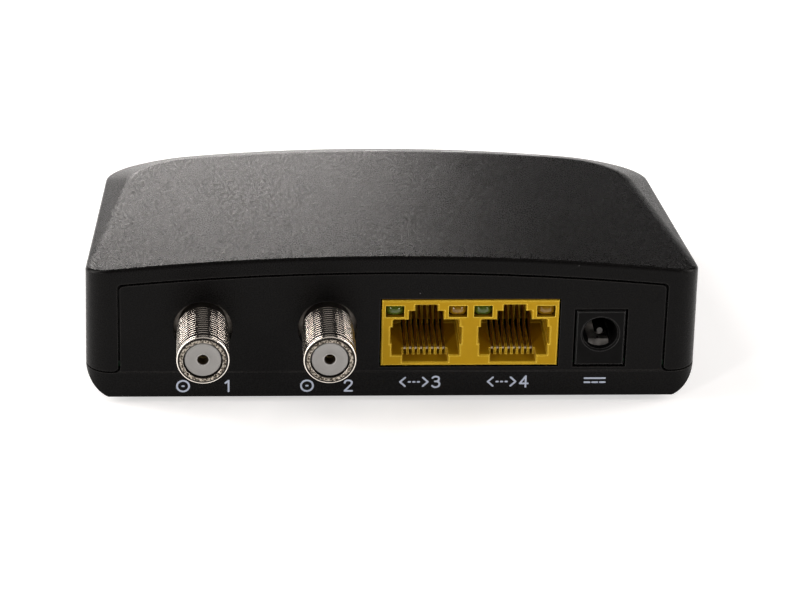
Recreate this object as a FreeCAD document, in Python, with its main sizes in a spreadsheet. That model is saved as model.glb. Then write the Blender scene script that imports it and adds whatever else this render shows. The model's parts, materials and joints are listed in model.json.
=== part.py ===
import FreeCAD, Part
import Sketcher

# A small coaxial network adapter: a wedge-shaped two-part case with two threaded coaxial
# sockets, a double modular jack and a power jack on its rear panel, and a circuit board inside.
#
# Every shape is drawn in the case's own frame: x runs across, y runs forward from the outer
# face of the rear panel, and z runs up from the underside of the case. Each finished sub-part
# is then moved into the part's frame, whose origin is at the bottom centre of its whole box.

import math
import os
import re

from FreeCAD import Placement, Rotation, Vector

document = FreeCAD.newDocument("network_adapter")
sheet = document.addObject("Spreadsheet::Sheet", "Sizes")

SIZES = {
    # Outer form of the case. Angles are in degrees, everything else is in millimetres.
    "case_width": 112.0,
    "case_depth": 69.6,
    "case_height": 28.3,
    "side_taper": 2.6,
    "wall_draft": 0.6,
    "rear_corner": 4.5,
    "front_corner": 6.5,
    "front_bow": 345.0,
    "top_slope": 7.8,
    "crown_radius": 500.0,
    # The bevel that runs round the top face, set out where the crown meets the sides.
    "bevel_side_slope": 23.8,
    "bevel_front_slope": 12.5,
    "bevel_outset": -0.4,
    "bevel_taper": 5.6,
    "bevel_reach": 9.3,
    "bevel_bow": 112.0,
    "bevel_corner": 20.0,
    "bevel_spread": 9.0,
    "edge_round": 0.6,
    "crease_round": 5.0,
    # Walls, and the seam between the cover and the tray.
    "wall": 2.0,
    "floor": 2.0,
    "seam_height": 5.06,
    "seam_gap": 0.36,
    "bottom_round": 5.0,
    "bottom_inset": 4.3,
    "bottom_mid_rise": 2.3,
    "bottom_mid_inset": 1.3,
    "tongue_width": 1.0,
    "tongue_height": 1.8,
    "fit_gap": 0.1,
    "panel_gap": 0.46,
    "panel_margin": 6.6,
    "panel_drop": 3.5,
    "panel_corner": 0.8,
    "panel_foot": 1.1,
    "panel_lip": 1.2,
    "witness_line": 0.16,
    # Vents through the floor.
    "vent_width": 1.6,
    "vent_length": 13.0,
    "vent_pitch": 4.0,
    "vent_spread": 9.0,
    # Rubber feet.
    "foot_radius": 4.0,
    "foot_height": 1.0,
    "foot_recess": 0.6,
    "foot_margin": 16.0,
    "foot_rear": 15.0,
    "foot_front_margin": 19.6,
    # Screw posts and case screws.
    "post_height": 2.65,
    "post_radius": 3.2,
    "post_margin": 10.1,
    "post_rear": 9.0,
    "post_front_margin": 17.6,
    "screw_radius": 1.3,
    "screw_length": 12.0,
    "screw_head_radius": 2.3,
    "screw_head_height": 1.5,
    "screw_fit": 0.05,
    "screw_drive": 0.7,
    # Circuit board.
    "board_thickness": 1.6,
    "board_rear": 0.4,
    "board_side_margin": 2.7,
    "board_front_margin": 6.6,
    "board_corner_cut": 8.0,
    "pin_hole": 0.55,
    # Coaxial sockets: a 3/8 inch 32-thread barrel on a block that is soldered to the board.
    "coax_one": -34.5,
    "coax_two": -11.9,
    "coax_rise": 7.72,
    "coax_reach": 12.27,
    "thread_radius": 4.735,
    "thread_depth": 0.35,
    "thread_pitch": 0.794,
    "thread_crest": 0.30,
    "thread_flank": 0.20,
    "barrel_rim": 1.1,
    "barrel_chamfer": 0.35,
    "barrel_neck": 1.6,
    "barrel_bore": 3.4,
    "panel_hole_gap": 0.62,
    "panel_hole_chamfer": 0.2,
    "block_width": 13.2,
    "block_depth": 10.5,
    "block_gap": 0.3,
    "leg_radius": 0.6,
    "leg_length": 3.2,
    "insulator_recess": 0.35,
    "insulator_depth": 8.0,
    "insulator_hole": 0.95,
    "insulator_lip": 2.5,
    "insulator_sink": 0.35,
    "contact_radius": 1.15,
    "contact_bore": 0.65,
    "contact_pin": 0.45,
    "contact_drop": 1.4,
    # Double modular jack, its spring wires and indicator lamps.
    "jack_centre": 14.0,
    "jack_width": 32.2,
    "jack_height": 13.3,
    "jack_depth": 18.0,
    "jack_pitch": 16.04,
    "jack_opening_gap": 0.3,
    "jack_chamfer": 0.2,
    "port_depth": 12.6,
    "keyway_width": 4.1,
    "keyway_top": 0.92,
    "step_width": 6.35,
    "step_top": 2.15,
    "port_width": 12.15,
    "port_top": 3.92,
    "port_slope": 0.2,
    "ear_width": 13.0,
    "ear_top": 5.5,
    "ear_bottom": 8.9,
    "port_lower_width": 12.4,
    "port_bottom": 11.2,
    "sill_width": 8.4,
    "sill_height": 0.7,
    "contact_pitch": 1.016,
    "slot_width": 0.56,
    "comb_front": 3.0,
    "comb_depth": 1.7,
    "comb_height": 6.4,
    "wire_width": 0.36,
    "wire_thickness": 0.32,
    "wire_bend": 3.9,
    "wire_bend_radius": 0.4,
    "wire_lift": 28.0,
    "wire_length": 8.9,
    "wire_gap": 0.12,
    "tail_row_one": 15.3,
    "tail_row_two": 16.9,
    "tail_length": 3.2,
    "peg_radius": 1.5,
    "peg_length": 2.4,
    "peg_place": 8.0,
    "lamp_width": 3.4,
    "lamp_height": 2.35,
    "lamp_drop": 1.05,
    "lamp_inset": 0.6,
    "lamp_recess": 0.3,
    "lamp_gap": 0.12,
    "lamp_length": 4.5,
    "lead_size": 0.5,
    "lead_spread": 2.0,
    "lead_rear": 0.7,
    # Power jack.
    "power_margin": 18.15,
    "power_width": 8.9,
    "power_height": 11.0,
    "power_depth": 14.2,
    "power_opening_gap": 0.42,
    "power_bore": 3.2,
    "power_bore_depth": 10.5,
    "power_bore_rise": 6.37,
    "power_chamfer": 0.35,
    "power_pin": 1.05,
    "power_shank": 0.8,
    "power_pin_recess": 1.6,
    "blade_width": 3.7,
    "blade_thickness": 0.3,
    "blade_slot_width": 4.2,
    "blade_root_rise": 2.3,
    "blade_peak_rise": 3.92,
    "blade_tip_rise": 2.92,
    "blade_peak": 2.9,
    "blade_tip": 1.95,
    "blade_root": 12.4,
    "blade_floor": 0.9,
    "lug_width": 2.4,
    "lug_thickness": 0.4,
    "lug_length": 3.0,
    # Status lights at the front edge of the top.
    "light_pitch": 15.0,
    "light_width": 4.8,
    "light_length": 1.1,
    "light_setback": 4.75,
    "light_gap": 0.08,
    "light_foot": 2.6,
    "light_bar": 1.4,
    "light_bar_rise": 5.5,
    "chip_light_width": 3.2,
    "chip_light_height": 1.9,
    "light_air": 0.4,
    # Parts on the board.
    "shield_width": 38.0,
    "shield_depth": 17.0,
    "shield_height": 4.2,
    "shield_skin": 0.25,
    "shield_centre": -24.5,
    "shield_rear": 18.5,
    "processor_size": 15.0,
    "processor_height": 1.3,
    "processor_place": 10.0,
    "processor_row": 43.0,
    "pad_height": 0.5,
    "sink_size": 19.0,
    "sink_base": 1.6,
    "sink_height": 5.5,
    "fin_thickness": 1.0,
    "fin_count": 6,
    "memory_width": 8.0,
    "memory_depth": 12.5,
    "memory_height": 1.1,
    "memory_place": -8.0,
    "flash_width": 5.2,
    "flash_place": -18.0,
    "transformer_width": 12.7,
    "transformer_depth": 7.0,
    "transformer_height": 6.0,
    "transformer_row": 25.5,
    "transistor_size": 6.0,
    "regulator_place": 37.0,
    "capacitor_radius": 4.0,
    "capacitor_height": 9.5,
    "capacitor_row": 24.0,
    "small_capacitor_radius": 3.15,
    "small_capacitor_height": 7.0,
    "small_capacitor_row": 35.5,
    "choke_size": 6.8,
    "choke_height": 3.4,
    "choke_row": 45.0,
    "crystal_width": 3.2,
    "crystal_depth": 2.5,
    "crystal_height": 0.9,
    "chip_cap_width": 1.6,
    "chip_cap_depth": 0.8,
    "chip_cap_height": 0.8,
}

for row, (name, size) in enumerate(SIZES.items(), start=1):
    sheet.set(f"A{row}", name)
    sheet.set(f"B{row}", str(size))
    sheet.setAlias(f"B{row}", name)
document.recompute()


# Levels and places that several pieces share, as formulas over the sheet.
BOARD_UNDER = "(floor + post_height)"
BOARD_TOP = "(floor + post_height + board_thickness)"
BOARD_FRONT = "(case_depth - wall - board_front_margin)"
COAX_AXIS = "(floor + post_height + board_thickness + coax_rise)"
BLOCK_FRONT = "(wall + block_gap)"
JACK_LEFT = "(jack_centre - jack_width / 2)"
JACK_TOP = "(floor + post_height + board_thickness + jack_height)"
POWER_X = "(case_width / 2 - power_margin)"
BORE_Z = "(floor + post_height + board_thickness + power_bore_rise)"
SHIFT_Y = "(coax_reach - case_depth) / 2"
SHIFT_Z = "foot_height"

sub_parts = []


def size(name):
    """One value of the sheet."""
    return float(sheet.get(name))


def formula(text):
    """Write a formula over the sheet's names in FreeCAD's own expression form."""
    return re.sub(r"[a-z][a-z_]+", lambda word: "Sizes." + word.group(), text)


def worked_out(text):
    """The value that a formula has with the sheet's present sizes."""
    return float(sheet.evalExpression(formula(text)))


def bind(thing, settings):
    """Tie properties of an object to formulas over the sheet."""
    for path, text in settings.items():
        thing.setExpression(path, formula(str(text)))
    return thing


def put(thing, x="0", y="0", z="0"):
    """Tie an object's place to three formulas."""
    places = {"Placement.Base.x": x, "Placement.Base.y": y, "Placement.Base.z": z}
    return bind(thing, places)


def box(name, x, y, z, length, width, height):
    """A box from its low corner and its three sides."""
    thing = document.addObject("Part::Box", name)
    bind(thing, {"Length": length, "Width": width, "Height": height})
    return put(thing, x, y, z)


def centred_box(name, x, y, z, length, width, height):
    """A box centred on x, with its rear face at y and its underside at z."""
    return box(name, f"({x}) - ({length}) / 2", y, z, length, width, height)


def rod(name, x, y, z, radius, length, along="z"):
    """A cylinder that starts at a point and runs along +z or +y."""
    thing = document.addObject("Part::Cylinder", name)
    if along == "y":
        thing.Placement = Placement(Vector(), Rotation(Vector(1, 0, 0), -90))
    bind(thing, {"Radius": radius, "Height": length})
    return put(thing, x, y, z)


def fused(name, pieces):
    """One solid joined from several."""
    thing = document.addObject("Part::MultiFuse", name)
    thing.Shapes = pieces
    return thing


def cut(name, base, tools):
    """A solid with other solids taken away from it."""
    if len(tools) > 1:
        tool = document.addObject("Part::Compound", name + "_tools")
        tool.Links = tools
    else:
        tool = tools[0]
    thing = document.addObject("Part::Cut", name)
    thing.Base = base
    thing.Tool = tool
    return thing


def front_chamfered(name, base, length):
    """A solid with its edges in the plane y = 0 taken off by a small equal chamfer."""
    document.recompute()
    thing = document.addObject("Part::Chamfer", name)
    thing.Base = base
    thing.Edges = [(number, size(length), size(length))
                   for number, edge in enumerate(base.Shape.Edges, start=1)
                   if abs(edge.BoundBox.YMin) + abs(edge.BoundBox.YMax) < 1e-6]
    return thing


def group(name, pieces):
    """Separate solids that share one node."""
    thing = document.addObject("Part::Compound", name)
    thing.Links = pieces
    return thing


PLANES = {
    "XY": Rotation(),
    "XZ": Rotation(Vector(1, 0, 0), 90),
    "YZ": Rotation(Vector(1, 1, 1), 120),
}


def draw_outline(sketch, corners):
    """Draw a closed outline of straight lines, each corner tied to two formulas."""
    points = [Vector(worked_out(u), worked_out(v), 0) for u, v in corners]
    for index, point in enumerate(points):
        sketch.addGeometry(Part.LineSegment(point, points[(index + 1) % len(points)]), False)
    for index in range(len(points)):
        sketch.addConstraint(Sketcher.Constraint(
            "Coincident", index, 2, (index + 1) % len(points), 1))
    for index, (u, v) in enumerate(corners):
        for kind, axis, text in (("DistanceX", -2, u), ("DistanceY", -1, v)):
            if text == "0":
                sketch.addConstraint(Sketcher.Constraint("PointOnObject", index, 1, axis))
                continue
            start = worked_out(text)
            number = sketch.addConstraint(Sketcher.Constraint(kind, -1, 1, index, 1, start))
            sketch.setExpression(f"Constraints[{number}]", formula(text))
    return sketch


def outline_sketch(name, plane, corners):
    """A free sketch of an outline, on one of the three main planes."""
    sketch = document.addObject("Sketcher::SketchObject", name)
    sketch.Placement = Placement(Vector(), PLANES[plane])
    return draw_outline(sketch, corners)


def slab(name, plane, corners, x="0", y="0", z="0", depth="1"):
    """An outline pushed along +x or +y, or up along +z, from a starting place."""
    thing = document.addObject("Part::Extrusion", name)
    thing.Base = outline_sketch(name + "_outline", plane, corners)
    thing.DirMode = "Custom"
    thing.Dir = {"XY": Vector(0, 0, 1), "XZ": Vector(0, 1, 0), "YZ": Vector(1, 0, 0)}[plane]
    thing.Solid = True
    bind(thing, {"LengthFwd": depth})
    return put(thing, x, y, z)


def origin_plane(body, role):
    """One of a body's own origin planes."""
    return [item for item in body.Origin.OriginFeatures if item.Role == role][0]


def turned(name, plane, corners):
    """A body turned about the sketch's upright axis from half of its section."""
    body = document.addObject("PartDesign::Body", name)
    sketch = body.newObject("Sketcher::SketchObject", name + "_section")
    sketch.AttachmentSupport = [(origin_plane(body, plane + "_Plane"), "")]
    sketch.MapMode = "FlatFace"
    draw_outline(sketch, corners)
    document.recompute()
    spin = body.newObject("PartDesign::Revolution", name + "_turned")
    spin.Profile = sketch
    spin.ReferenceAxis = (sketch, ["V_Axis"])
    spin.Angle = 360.0
    sketch.Visibility = False
    body.Tip = spin
    return body


def padded(name, plane, corners, height):
    """A body padded straight up from an outline on its own ground plane."""
    body = document.addObject("PartDesign::Body", name)
    sketch = body.newObject("Sketcher::SketchObject", name + "_outline")
    sketch.AttachmentSupport = [(origin_plane(body, plane + "_Plane"), "")]
    sketch.MapMode = "FlatFace"
    draw_outline(sketch, corners)
    document.recompute()
    pad = body.newObject("PartDesign::Pad", name + "_pad")
    pad.Profile = sketch
    bind(pad, {"Length": height})
    body.Tip = pad
    return body


def solid_feature(name, shape):
    """A piece whose shape is worked out here from the sheet's sizes."""
    thing = document.addObject("Part::Feature", name)
    thing.Shape = shape
    return thing


def finish(thing, label):
    """Name a sub-part and move it from the case's frame into the part's frame."""
    thing.Label = label
    held = {path.lstrip("."): text for path, text in thing.ExpressionEngine}
    for axis, shift in (("y", SHIFT_Y), ("z", SHIFT_Z)):
        path = "Placement.Base." + axis
        placed = held.get(path, "0")
        thing.setExpression(path, f"{placed} + {formula(shift)}")
    sub_parts.append(thing)
    return thing


# ---------------------------------------------------------------------------------------------
# The case
# ---------------------------------------------------------------------------------------------


# How far helper solids stand above the case's top and below its underside.
HEADROOM = 12.0
BELOW = 2.0


def outline_points(half, rear, front, taper, rear_radius, front_radius, bow):
    """Key points of a closed outline with tapering sides, a bowed front and round corners."""
    lean = math.radians(taper)
    outward = Vector(math.cos(lean), math.sin(lean), 0)
    along = Vector(-math.sin(lean), math.cos(lean), 0)
    side = Vector(half, 0, 0)
    bow_centre = Vector(0, front - bow, 0)
    # The front corner's centre lies its own radius inside both the side and the bow.
    start = side - outward * front_radius - bow_centre
    reach = bow - front_radius
    forward = start.dot(along)
    travel = -forward + math.sqrt(forward ** 2 - start.dot(start) + reach ** 2)
    front_centre = side - outward * front_radius + along * travel
    to_bow = (front_centre - bow_centre).normalize()
    # The rear corner's centre lies its own radius inside both the side and the rear.
    start = side - outward * rear_radius
    travel = (rear + rear_radius - start.y) / along.y
    rear_centre = start + along * travel
    return {
        "rear_end": Vector(rear_centre.x, rear, 0),
        "rear_mid": rear_centre + (outward - Vector(0, 1, 0)).normalize() * rear_radius,
        "side_rear": rear_centre + outward * rear_radius,
        "side_front": front_centre + outward * front_radius,
        "front_centre": front_centre,
        "front_mid": front_centre + (outward + to_bow).normalize() * front_radius,
        "bow_end": bow_centre + to_bow * bow,
        "bow_mid": Vector(0, front, 0),
        "bow_centre": bow_centre,
        "outward": outward,
        "along": along,
    }


def outline_wire(points, height):
    """The closed wire through those points, level with a height."""
    def at(name, side=1):
        point = points[name]
        return Vector(point.x * side, point.y, height)

    edges = [
        Part.LineSegment(at("rear_end", -1), at("rear_end")),
        Part.Arc(at("rear_end"), at("rear_mid"), at("side_rear")),
        Part.LineSegment(at("side_rear"), at("side_front")),
        Part.Arc(at("side_front"), at("front_mid"), at("bow_end")),
        Part.Arc(at("bow_end"), at("bow_mid"), at("bow_end", -1)),
        Part.Arc(at("bow_end", -1), at("front_mid", -1), at("side_front", -1)),
        Part.LineSegment(at("side_front", -1), at("side_rear", -1)),
        Part.Arc(at("side_rear", -1), at("rear_mid", -1), at("rear_end", -1)),
    ]
    return Part.Wire([edge.toShape() for edge in edges])


def plan_points(grow, rear_shift=0.0):
    """The case's plan outline at the seam, grown outwards by a distance."""
    return outline_points(
        half=size("case_width") / 2 + grow / math.cos(math.radians(size("side_taper"))),
        rear=rear_shift - grow,
        front=size("case_depth") + grow,
        taper=size("side_taper"),
        rear_radius=size("rear_corner") + grow,
        front_radius=size("front_corner") + grow,
        bow=size("front_bow") + grow,
    )


def bevel_points(grow):
    """The bevel's outline where it leaves the crown's side height, grown outwards."""
    ratio = (math.tan(math.radians(size("bevel_side_slope")))
             / math.tan(math.radians(size("bevel_front_slope"))))
    lean = math.cos(math.radians(size("bevel_taper")))
    rear_radius = size("bevel_spread") + BELOW + grow
    return outline_points(
        half=size("case_width") / 2 + size("bevel_outset") + grow / lean,
        rear=-2 * size("bevel_corner") - grow,
        front=size("case_depth") + size("bevel_reach") + grow * ratio,
        taper=size("bevel_taper"),
        rear_radius=rear_radius,
        front_radius=size("bevel_corner") + grow,
        bow=size("bevel_bow") + grow,
    )


def walls_form(inset, low, rear_shift=0.0):
    """The drafted walls as a tall block, from a low height to above the case's top."""
    lean = math.tan(math.radians(size("wall_draft")))
    high = size("case_height") + HEADROOM
    wires = []
    for height in (low, high):
        grow = (size("seam_height") - height) * lean - inset
        wires.append(outline_wire(plan_points(grow, rear_shift), height))
    return Part.makeLoft(wires, True, True)


def roof_form(inset):
    """Everything under the crowned top and its bevel."""
    fall = math.tan(math.radians(size("bevel_side_slope")))
    half = size("case_width") / 2
    crown = size("crown_radius")
    edge = -half ** 2 / (2 * crown)
    spread = size("bevel_spread")
    wires = []
    for grow in (spread, -spread):
        wires.append(outline_wire(bevel_points(grow), edge - grow * fall))
    bevel = Part.makeLoft(wires, True, True)
    under = outline_wire(bevel_points(spread), edge - spread * fall)
    skirt = Part.Face(under).extrude(Vector(0, 0, -2 * size("case_height")))
    barrel = Part.makeCylinder(crown, 3 * size("case_depth"),
                               Vector(0, -size("case_depth"), -crown), Vector(0, 1, 0))
    roof = bevel.fuse(skirt).common(barrel)
    roof.Placement = Placement(Vector(0, 0, size("case_height") - inset),
                               Rotation(Vector(1, 0, 0), -size("top_slope")))
    return roof


def bottom_rounding():
    """What the rounded lower edge takes off the sides and the front."""
    points = plan_points(0.0)
    rise = size("bottom_round")
    inset = size("bottom_inset")

    def section(origin, outward):
        def at(out, up):
            return Vector(origin.x, origin.y, 0) + outward * out + Vector(0, 0, up)

        margin = rise * math.tan(math.radians(size("wall_draft"))) + BELOW
        middle = at(-size("bottom_mid_inset"), size("bottom_mid_rise"))
        curve = Part.Arc(at(0, rise), middle, at(-inset, 0))
        edges = [
            curve.toShape(),
            Part.makeLine(at(-inset, 0), at(-inset, -BELOW)),
            Part.makeLine(at(-inset, -BELOW), at(margin, -BELOW)),
            Part.makeLine(at(margin, -BELOW), at(margin, rise)),
            Part.makeLine(at(margin, rise), at(0, rise)),
        ]
        return Part.Face(Part.Wire(edges))

    outward = points["outward"]
    straight = section(points["side_front"], outward)
    run = points["side_rear"] - points["side_front"] - points["along"] * size("case_depth")
    side = straight.extrude(run)
    to_bow = points["bow_end"] - points["bow_centre"]
    swing = math.degrees(to_bow.getAngle(Vector(1, 0, 0))) - size("side_taper")
    corner = straight.revolve(points["front_centre"], Vector(0, 0, 1), swing)
    bow_face = section(points["bow_end"], to_bow.normalize())
    half_swing = 90 - math.degrees(to_bow.getAngle(Vector(1, 0, 0)))
    bow = bow_face.revolve(points["bow_centre"], Vector(0, 0, 1), 2 * half_swing).toNurbs()
    mirrored = [piece.mirror(Vector(), Vector(1, 0, 0)) for piece in (side, corner)]
    return [side, corner, bow] + mirrored


def case_form(inset=0.0):
    """The whole case as one block, or its hollow when inset by the wall."""
    return walls_form(inset, 0.0).common(roof_form(inset))


def panel_wire(grow, y):
    """The rear panel's outline, flared at the foot and arched like the crown at its top."""
    half = size("case_width") / 2 - size("panel_margin") + grow
    radius = size("crown_radius")
    top = size("case_height") - size("panel_drop") + grow
    corner = size("panel_corner")
    shoulder = top - half ** 2 / (2 * radius)
    ease = corner * (1 - math.sqrt(0.5))
    # The foot flares out to the seam in a hollow corner, whose centre stays put as it grows.
    foot = seam_low + grow
    flare = max(size("panel_foot") - grow, size("fit_gap"))
    flare_ease = flare * (1 - math.sqrt(0.5))

    def at(x, z):
        return Vector(x, y, z)

    inner = half - corner
    shoulder_in = top - inner ** 2 / (2 * radius)
    edges = [
        Part.makeLine(at(-half - flare, -BELOW), at(half + flare, -BELOW)),
        Part.makeLine(at(half + flare, -BELOW), at(half + flare, foot)),
        Part.Arc(at(half + flare, foot), at(half + flare_ease, foot + flare_ease),
                 at(half, foot + flare)).toShape(),
        Part.makeLine(at(half, foot + flare), at(half, shoulder - corner)),
        Part.Arc(at(half, shoulder - corner), at(half - ease, shoulder_in - ease),
                 at(inner, shoulder_in)).toShape(),
        Part.Arc(at(inner, shoulder_in), at(0, top), at(-inner, shoulder_in)).toShape(),
        Part.Arc(at(-inner, shoulder_in), at(ease - half, shoulder_in - ease),
                 at(-half, shoulder - corner)).toShape(),
        Part.makeLine(at(-half, shoulder - corner), at(-half, foot + flare)),
        Part.Arc(at(-half, foot + flare), at(-half - flare_ease, foot + flare_ease),
                 at(-half - flare, foot)).toShape(),
        Part.makeLine(at(-half - flare, foot), at(-half - flare, -BELOW)),
    ]
    return Part.Wire(edges)


def panel_block(grow, start, depth):
    """The panel's outline pushed forward from a start."""
    return Part.Face(panel_wire(grow, start)).extrude(Vector(0, depth, 0))


def post_places():
    """The four places where posts, screws and bosses stand, as (x, y)."""
    reach = size("case_width") / 2 - size("post_margin")
    rows = (size("post_rear"), size("case_depth") - size("post_front_margin"))
    return [(side * reach, row) for side in (-1, 1) for row in rows]


def upright(x, y, low, high, radius):
    """An upright cylinder between two heights."""
    return Part.makeCylinder(radius, high - low, Vector(x, y, low))


def light_slot(index, gap):
    """The window of one status light, as a tall block that crosses the top's front edge."""
    width = size("light_width") - 2 * gap
    length = size("light_length") - 2 * gap
    start = size("case_depth") - size("light_setback") + gap
    x = index * size("light_pitch") - width / 2
    return Part.makeBox(width, length, 2 * size("case_height"),
                        Vector(x, start, size("seam_height")))


board_top = worked_out(BOARD_TOP)
board_under = worked_out(BOARD_UNDER)
seam_low = size("seam_height") - size("seam_gap") / 2
seam_high = size("seam_height") + size("seam_gap") / 2
outer_form = case_form()
for cutter in bottom_rounding():
    outer_form = outer_form.cut(cutter)


# The turn between two faces, in degrees, at the crease of the bevel and at the top's rim.
CREASE_TURN = (8, 25)
RIM_TURN = (40, 180)


def edges_turning(form, least, most):
    """The edges of the top whose two faces turn by an angle between two limits."""
    chosen = []
    for edge in form.Edges:
        faces = form.ancestorsOfType(edge, Part.Face)
        if edge.BoundBox.ZMin < size("case_height") / 3 or len(faces) != 2:
            continue
        point = edge.valueAt((edge.FirstParameter + edge.LastParameter) / 2)
        normals = [face.normalAt(*face.Surface.parameter(point)) for face in faces]
        turn = math.degrees(normals[0].getAngle(normals[1]))
        if least < turn < most and max(normal.z for normal in normals) > 0.5:
            chosen.append(edge)
    return chosen


def round_top(form):
    """Soften the bevel's crease, then round the rim; the left half mirrors the right."""
    soft = form.makeFillet(size("crease_round"), edges_turning(form, *CREASE_TURN))
    rounded = soft.makeFillet(size("edge_round"), edges_turning(soft, *RIM_TURN))
    right = rounded.common(Part.makeBox(
        size("case_width"), 3 * size("case_depth"), 3 * size("case_height"),
        Vector(0, -size("case_depth"), -size("case_height"))))
    return right.fuse(right.mirror(Vector(), Vector(1, 0, 0))).removeSplitter()


def make_top_cover():
    """The cover: top, sides, front and the frame round the rear panel."""
    wall = size("wall")
    hollow = case_form(wall)
    cover = round_top(outer_form).cut(hollow)
    below = Part.makeBox(3 * size("case_width"), 3 * size("case_depth"), 2 * seam_high,
                         Vector(-1.5 * size("case_width"), -size("case_depth"), -seam_high))
    cover = cover.cut(below)
    cover = cover.cut(panel_block(size("panel_gap"), -wall, 2.5 * wall))
    lip = panel_block(size("panel_gap") + wall, wall, size("panel_lip"))
    lip = lip.cut(panel_block(-size("panel_lip"), 0, 3 * wall))
    lip_low = board_top + size("fit_gap")
    lip = lip.cut(Part.makeBox(2 * size("case_width"), size("case_depth"), 2 * lip_low,
                               Vector(-size("case_width"), 0, -lip_low)))
    lip = lip.common(case_form(wall / 2))
    cover = cover.fuse(lip)
    attic = case_form(wall / 2)
    for x, y in post_places():
        boss = upright(x, y, board_top, size("case_height"), size("post_radius"))
        cover = cover.fuse(boss.common(attic))
    for x, y in post_places():
        pilot = size("screw_radius") + size("screw_fit")
        cover = cover.cut(upright(x, y, 0, size("floor") + size("screw_length") + 1, pilot))
    for index in range(3):
        cover = cover.cut(light_slot(index, 0.0))
    return cover.removeSplitter()


def make_bottom_tray():
    """The tray: floor, low walls, tongue, posts and the rear panel with its openings."""
    wall = size("wall")
    tongue = wall + size("fit_gap")
    inside = tongue + size("tongue_width")
    panel_back = wall - size("fit_gap")
    low = Part.makeBox(3 * size("case_width"), 3 * size("case_depth"), seam_low,
                       Vector(-1.5 * size("case_width"), -size("case_depth"), 0))
    tray = outer_form.common(low)
    tray = tray.cut(walls_form(inside, size("floor"), panel_back - inside))
    ring = walls_form(tongue, size("floor")).cut(walls_form(inside, size("floor")))
    rear_keep = 3 * size("rear_corner")
    ring = ring.common(Part.makeBox(
        2 * size("case_width"), size("case_depth"), size("seam_height") + size("tongue_height")
        - size("floor"), Vector(-size("case_width"), rear_keep, size("floor"))))
    panel = panel_block(0.0, 0, panel_back).common(outer_form)
    tray = tray.fuse([ring, panel])
    for x, y in post_places():
        tray = tray.fuse(upright(x, y, size("floor") / 2, board_under, size("post_radius")))
    for x, y in post_places():
        shank = size("screw_radius") + size("screw_fit")
        tray = tray.cut(upright(x, y, -1, board_under + 1, shank))
        head = size("screw_head_radius") + size("fit_gap")
        tray = tray.cut(upright(x, y, -1, size("floor"), head))
    for x, y in foot_places():
        tray = tray.cut(upright(x, y, -1, size("foot_recess"), size("foot_radius")
                                + size("fit_gap")))
    tray = tray.cut(Part.Compound(rear_openings(panel_back) + vents()))
    line = size("witness_line")
    groove = Part.makeBox(2 * size("case_width"), 2 * line, line,
                          Vector(-size("case_width"), -line, size("seam_height") - line / 2))
    return tray.cut(groove).removeSplitter()


def foot_places():
    """The four feet, as (x, y)."""
    reach = size("case_width") / 2 - size("foot_margin")
    rows = (size("foot_rear"), size("case_depth") - size("foot_front_margin"))
    return [(side * reach, row) for side in (-1, 1) for row in rows]


def rear_openings(depth):
    """Cutters for the connector openings in the rear panel."""
    cutters = []
    for x in (size("coax_one"), size("coax_two")):
        radius = size("thread_radius") + size("panel_hole_gap")
        ease = size("panel_hole_chamfer")
        height = worked_out(COAX_AXIS)
        cutters.append(Part.makeCylinder(radius, 3 * depth, Vector(x, -depth, height),
                                         Vector(0, 1, 0)))
        cutters.append(Part.makeCone(radius + 2 * ease, radius, 2 * ease,
                                     Vector(x, -ease, height), Vector(0, 1, 0)))
    gap = size("jack_opening_gap")
    cutters.append(Part.makeBox(
        size("jack_width") + 2 * gap, 3 * depth, size("jack_height") + 2 * gap,
        Vector(worked_out(JACK_LEFT) - gap, -depth, board_top - gap)))
    gap = size("power_opening_gap")
    cutters.append(Part.makeBox(
        size("power_width") + 2 * gap, 3 * depth, size("power_height") + 2 * gap,
        Vector(worked_out(POWER_X) - size("power_width") / 2 - gap, -depth, board_top - gap)))
    return cutters


def vents():
    """Cutters for two rows of round-ended vent slots in the floor."""
    cutters = []
    width = size("vent_width")
    length = size("vent_length")
    middle = size("case_depth") / 2
    count = int(size("case_width") / 3 / size("vent_pitch"))
    for row in (-1, 1):
        start = middle + row * size("vent_spread") - length / 2
        for index in range(-count, count + 1):
            x = index * size("vent_pitch")
            slot = Part.makeBox(width, length - width, 4 * size("floor"),
                                Vector(x - width / 2, start + width / 2, -size("floor")))
            ends = [upright(x, y, -size("floor"), 3 * size("floor"), width / 2)
                    for y in (start + width / 2, start + length - width / 2)]
            cutters.append(slot.fuse(ends))
    return cutters


finish(solid_feature("top_cover", make_top_cover()), "top_cover")
finish(solid_feature("bottom_tray", make_bottom_tray()), "bottom_tray")


# ---------------------------------------------------------------------------------------------
# Feet and screws
# ---------------------------------------------------------------------------------------------


def at_places(name, thing, places):
    """Copies of one solid at several (x, y) places, as one group."""
    shape = thing.Shape
    copies = []
    for x, y in places:
        copy = shape.copy()
        copy.translate(Vector(x, y, 0))
        copies.append(copy)
    return solid_feature(name, Part.Compound(copies))


foot = turned("foot", "XZ", [
    ("0", "-foot_height"),
    ("foot_radius - foot_height / 3", "-foot_height"),
    ("foot_radius", "-foot_height * 2 / 3"),
    ("foot_radius", "foot_recess"),
    ("0", "foot_recess"),
])
screw = turned("screw", "XZ", [
    ("0", "floor - screw_head_height + screw_drive"),
    ("screw_drive", "floor - screw_head_height + screw_drive"),
    ("screw_drive", "floor - screw_head_height"),
    ("screw_head_radius - screw_drive / 2", "floor - screw_head_height"),
    ("screw_head_radius", "floor - screw_head_height + screw_drive / 2"),
    ("screw_head_radius", "floor"),
    ("screw_radius", "floor"),
    ("screw_radius", "floor + screw_length - screw_radius"),
    ("0", "floor + screw_length"),
])
document.recompute()
finish(at_places("rubber_feet", foot, foot_places()), "rubber_feet")
finish(at_places("case_screws", screw, post_places()), "case_screws")


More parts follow.
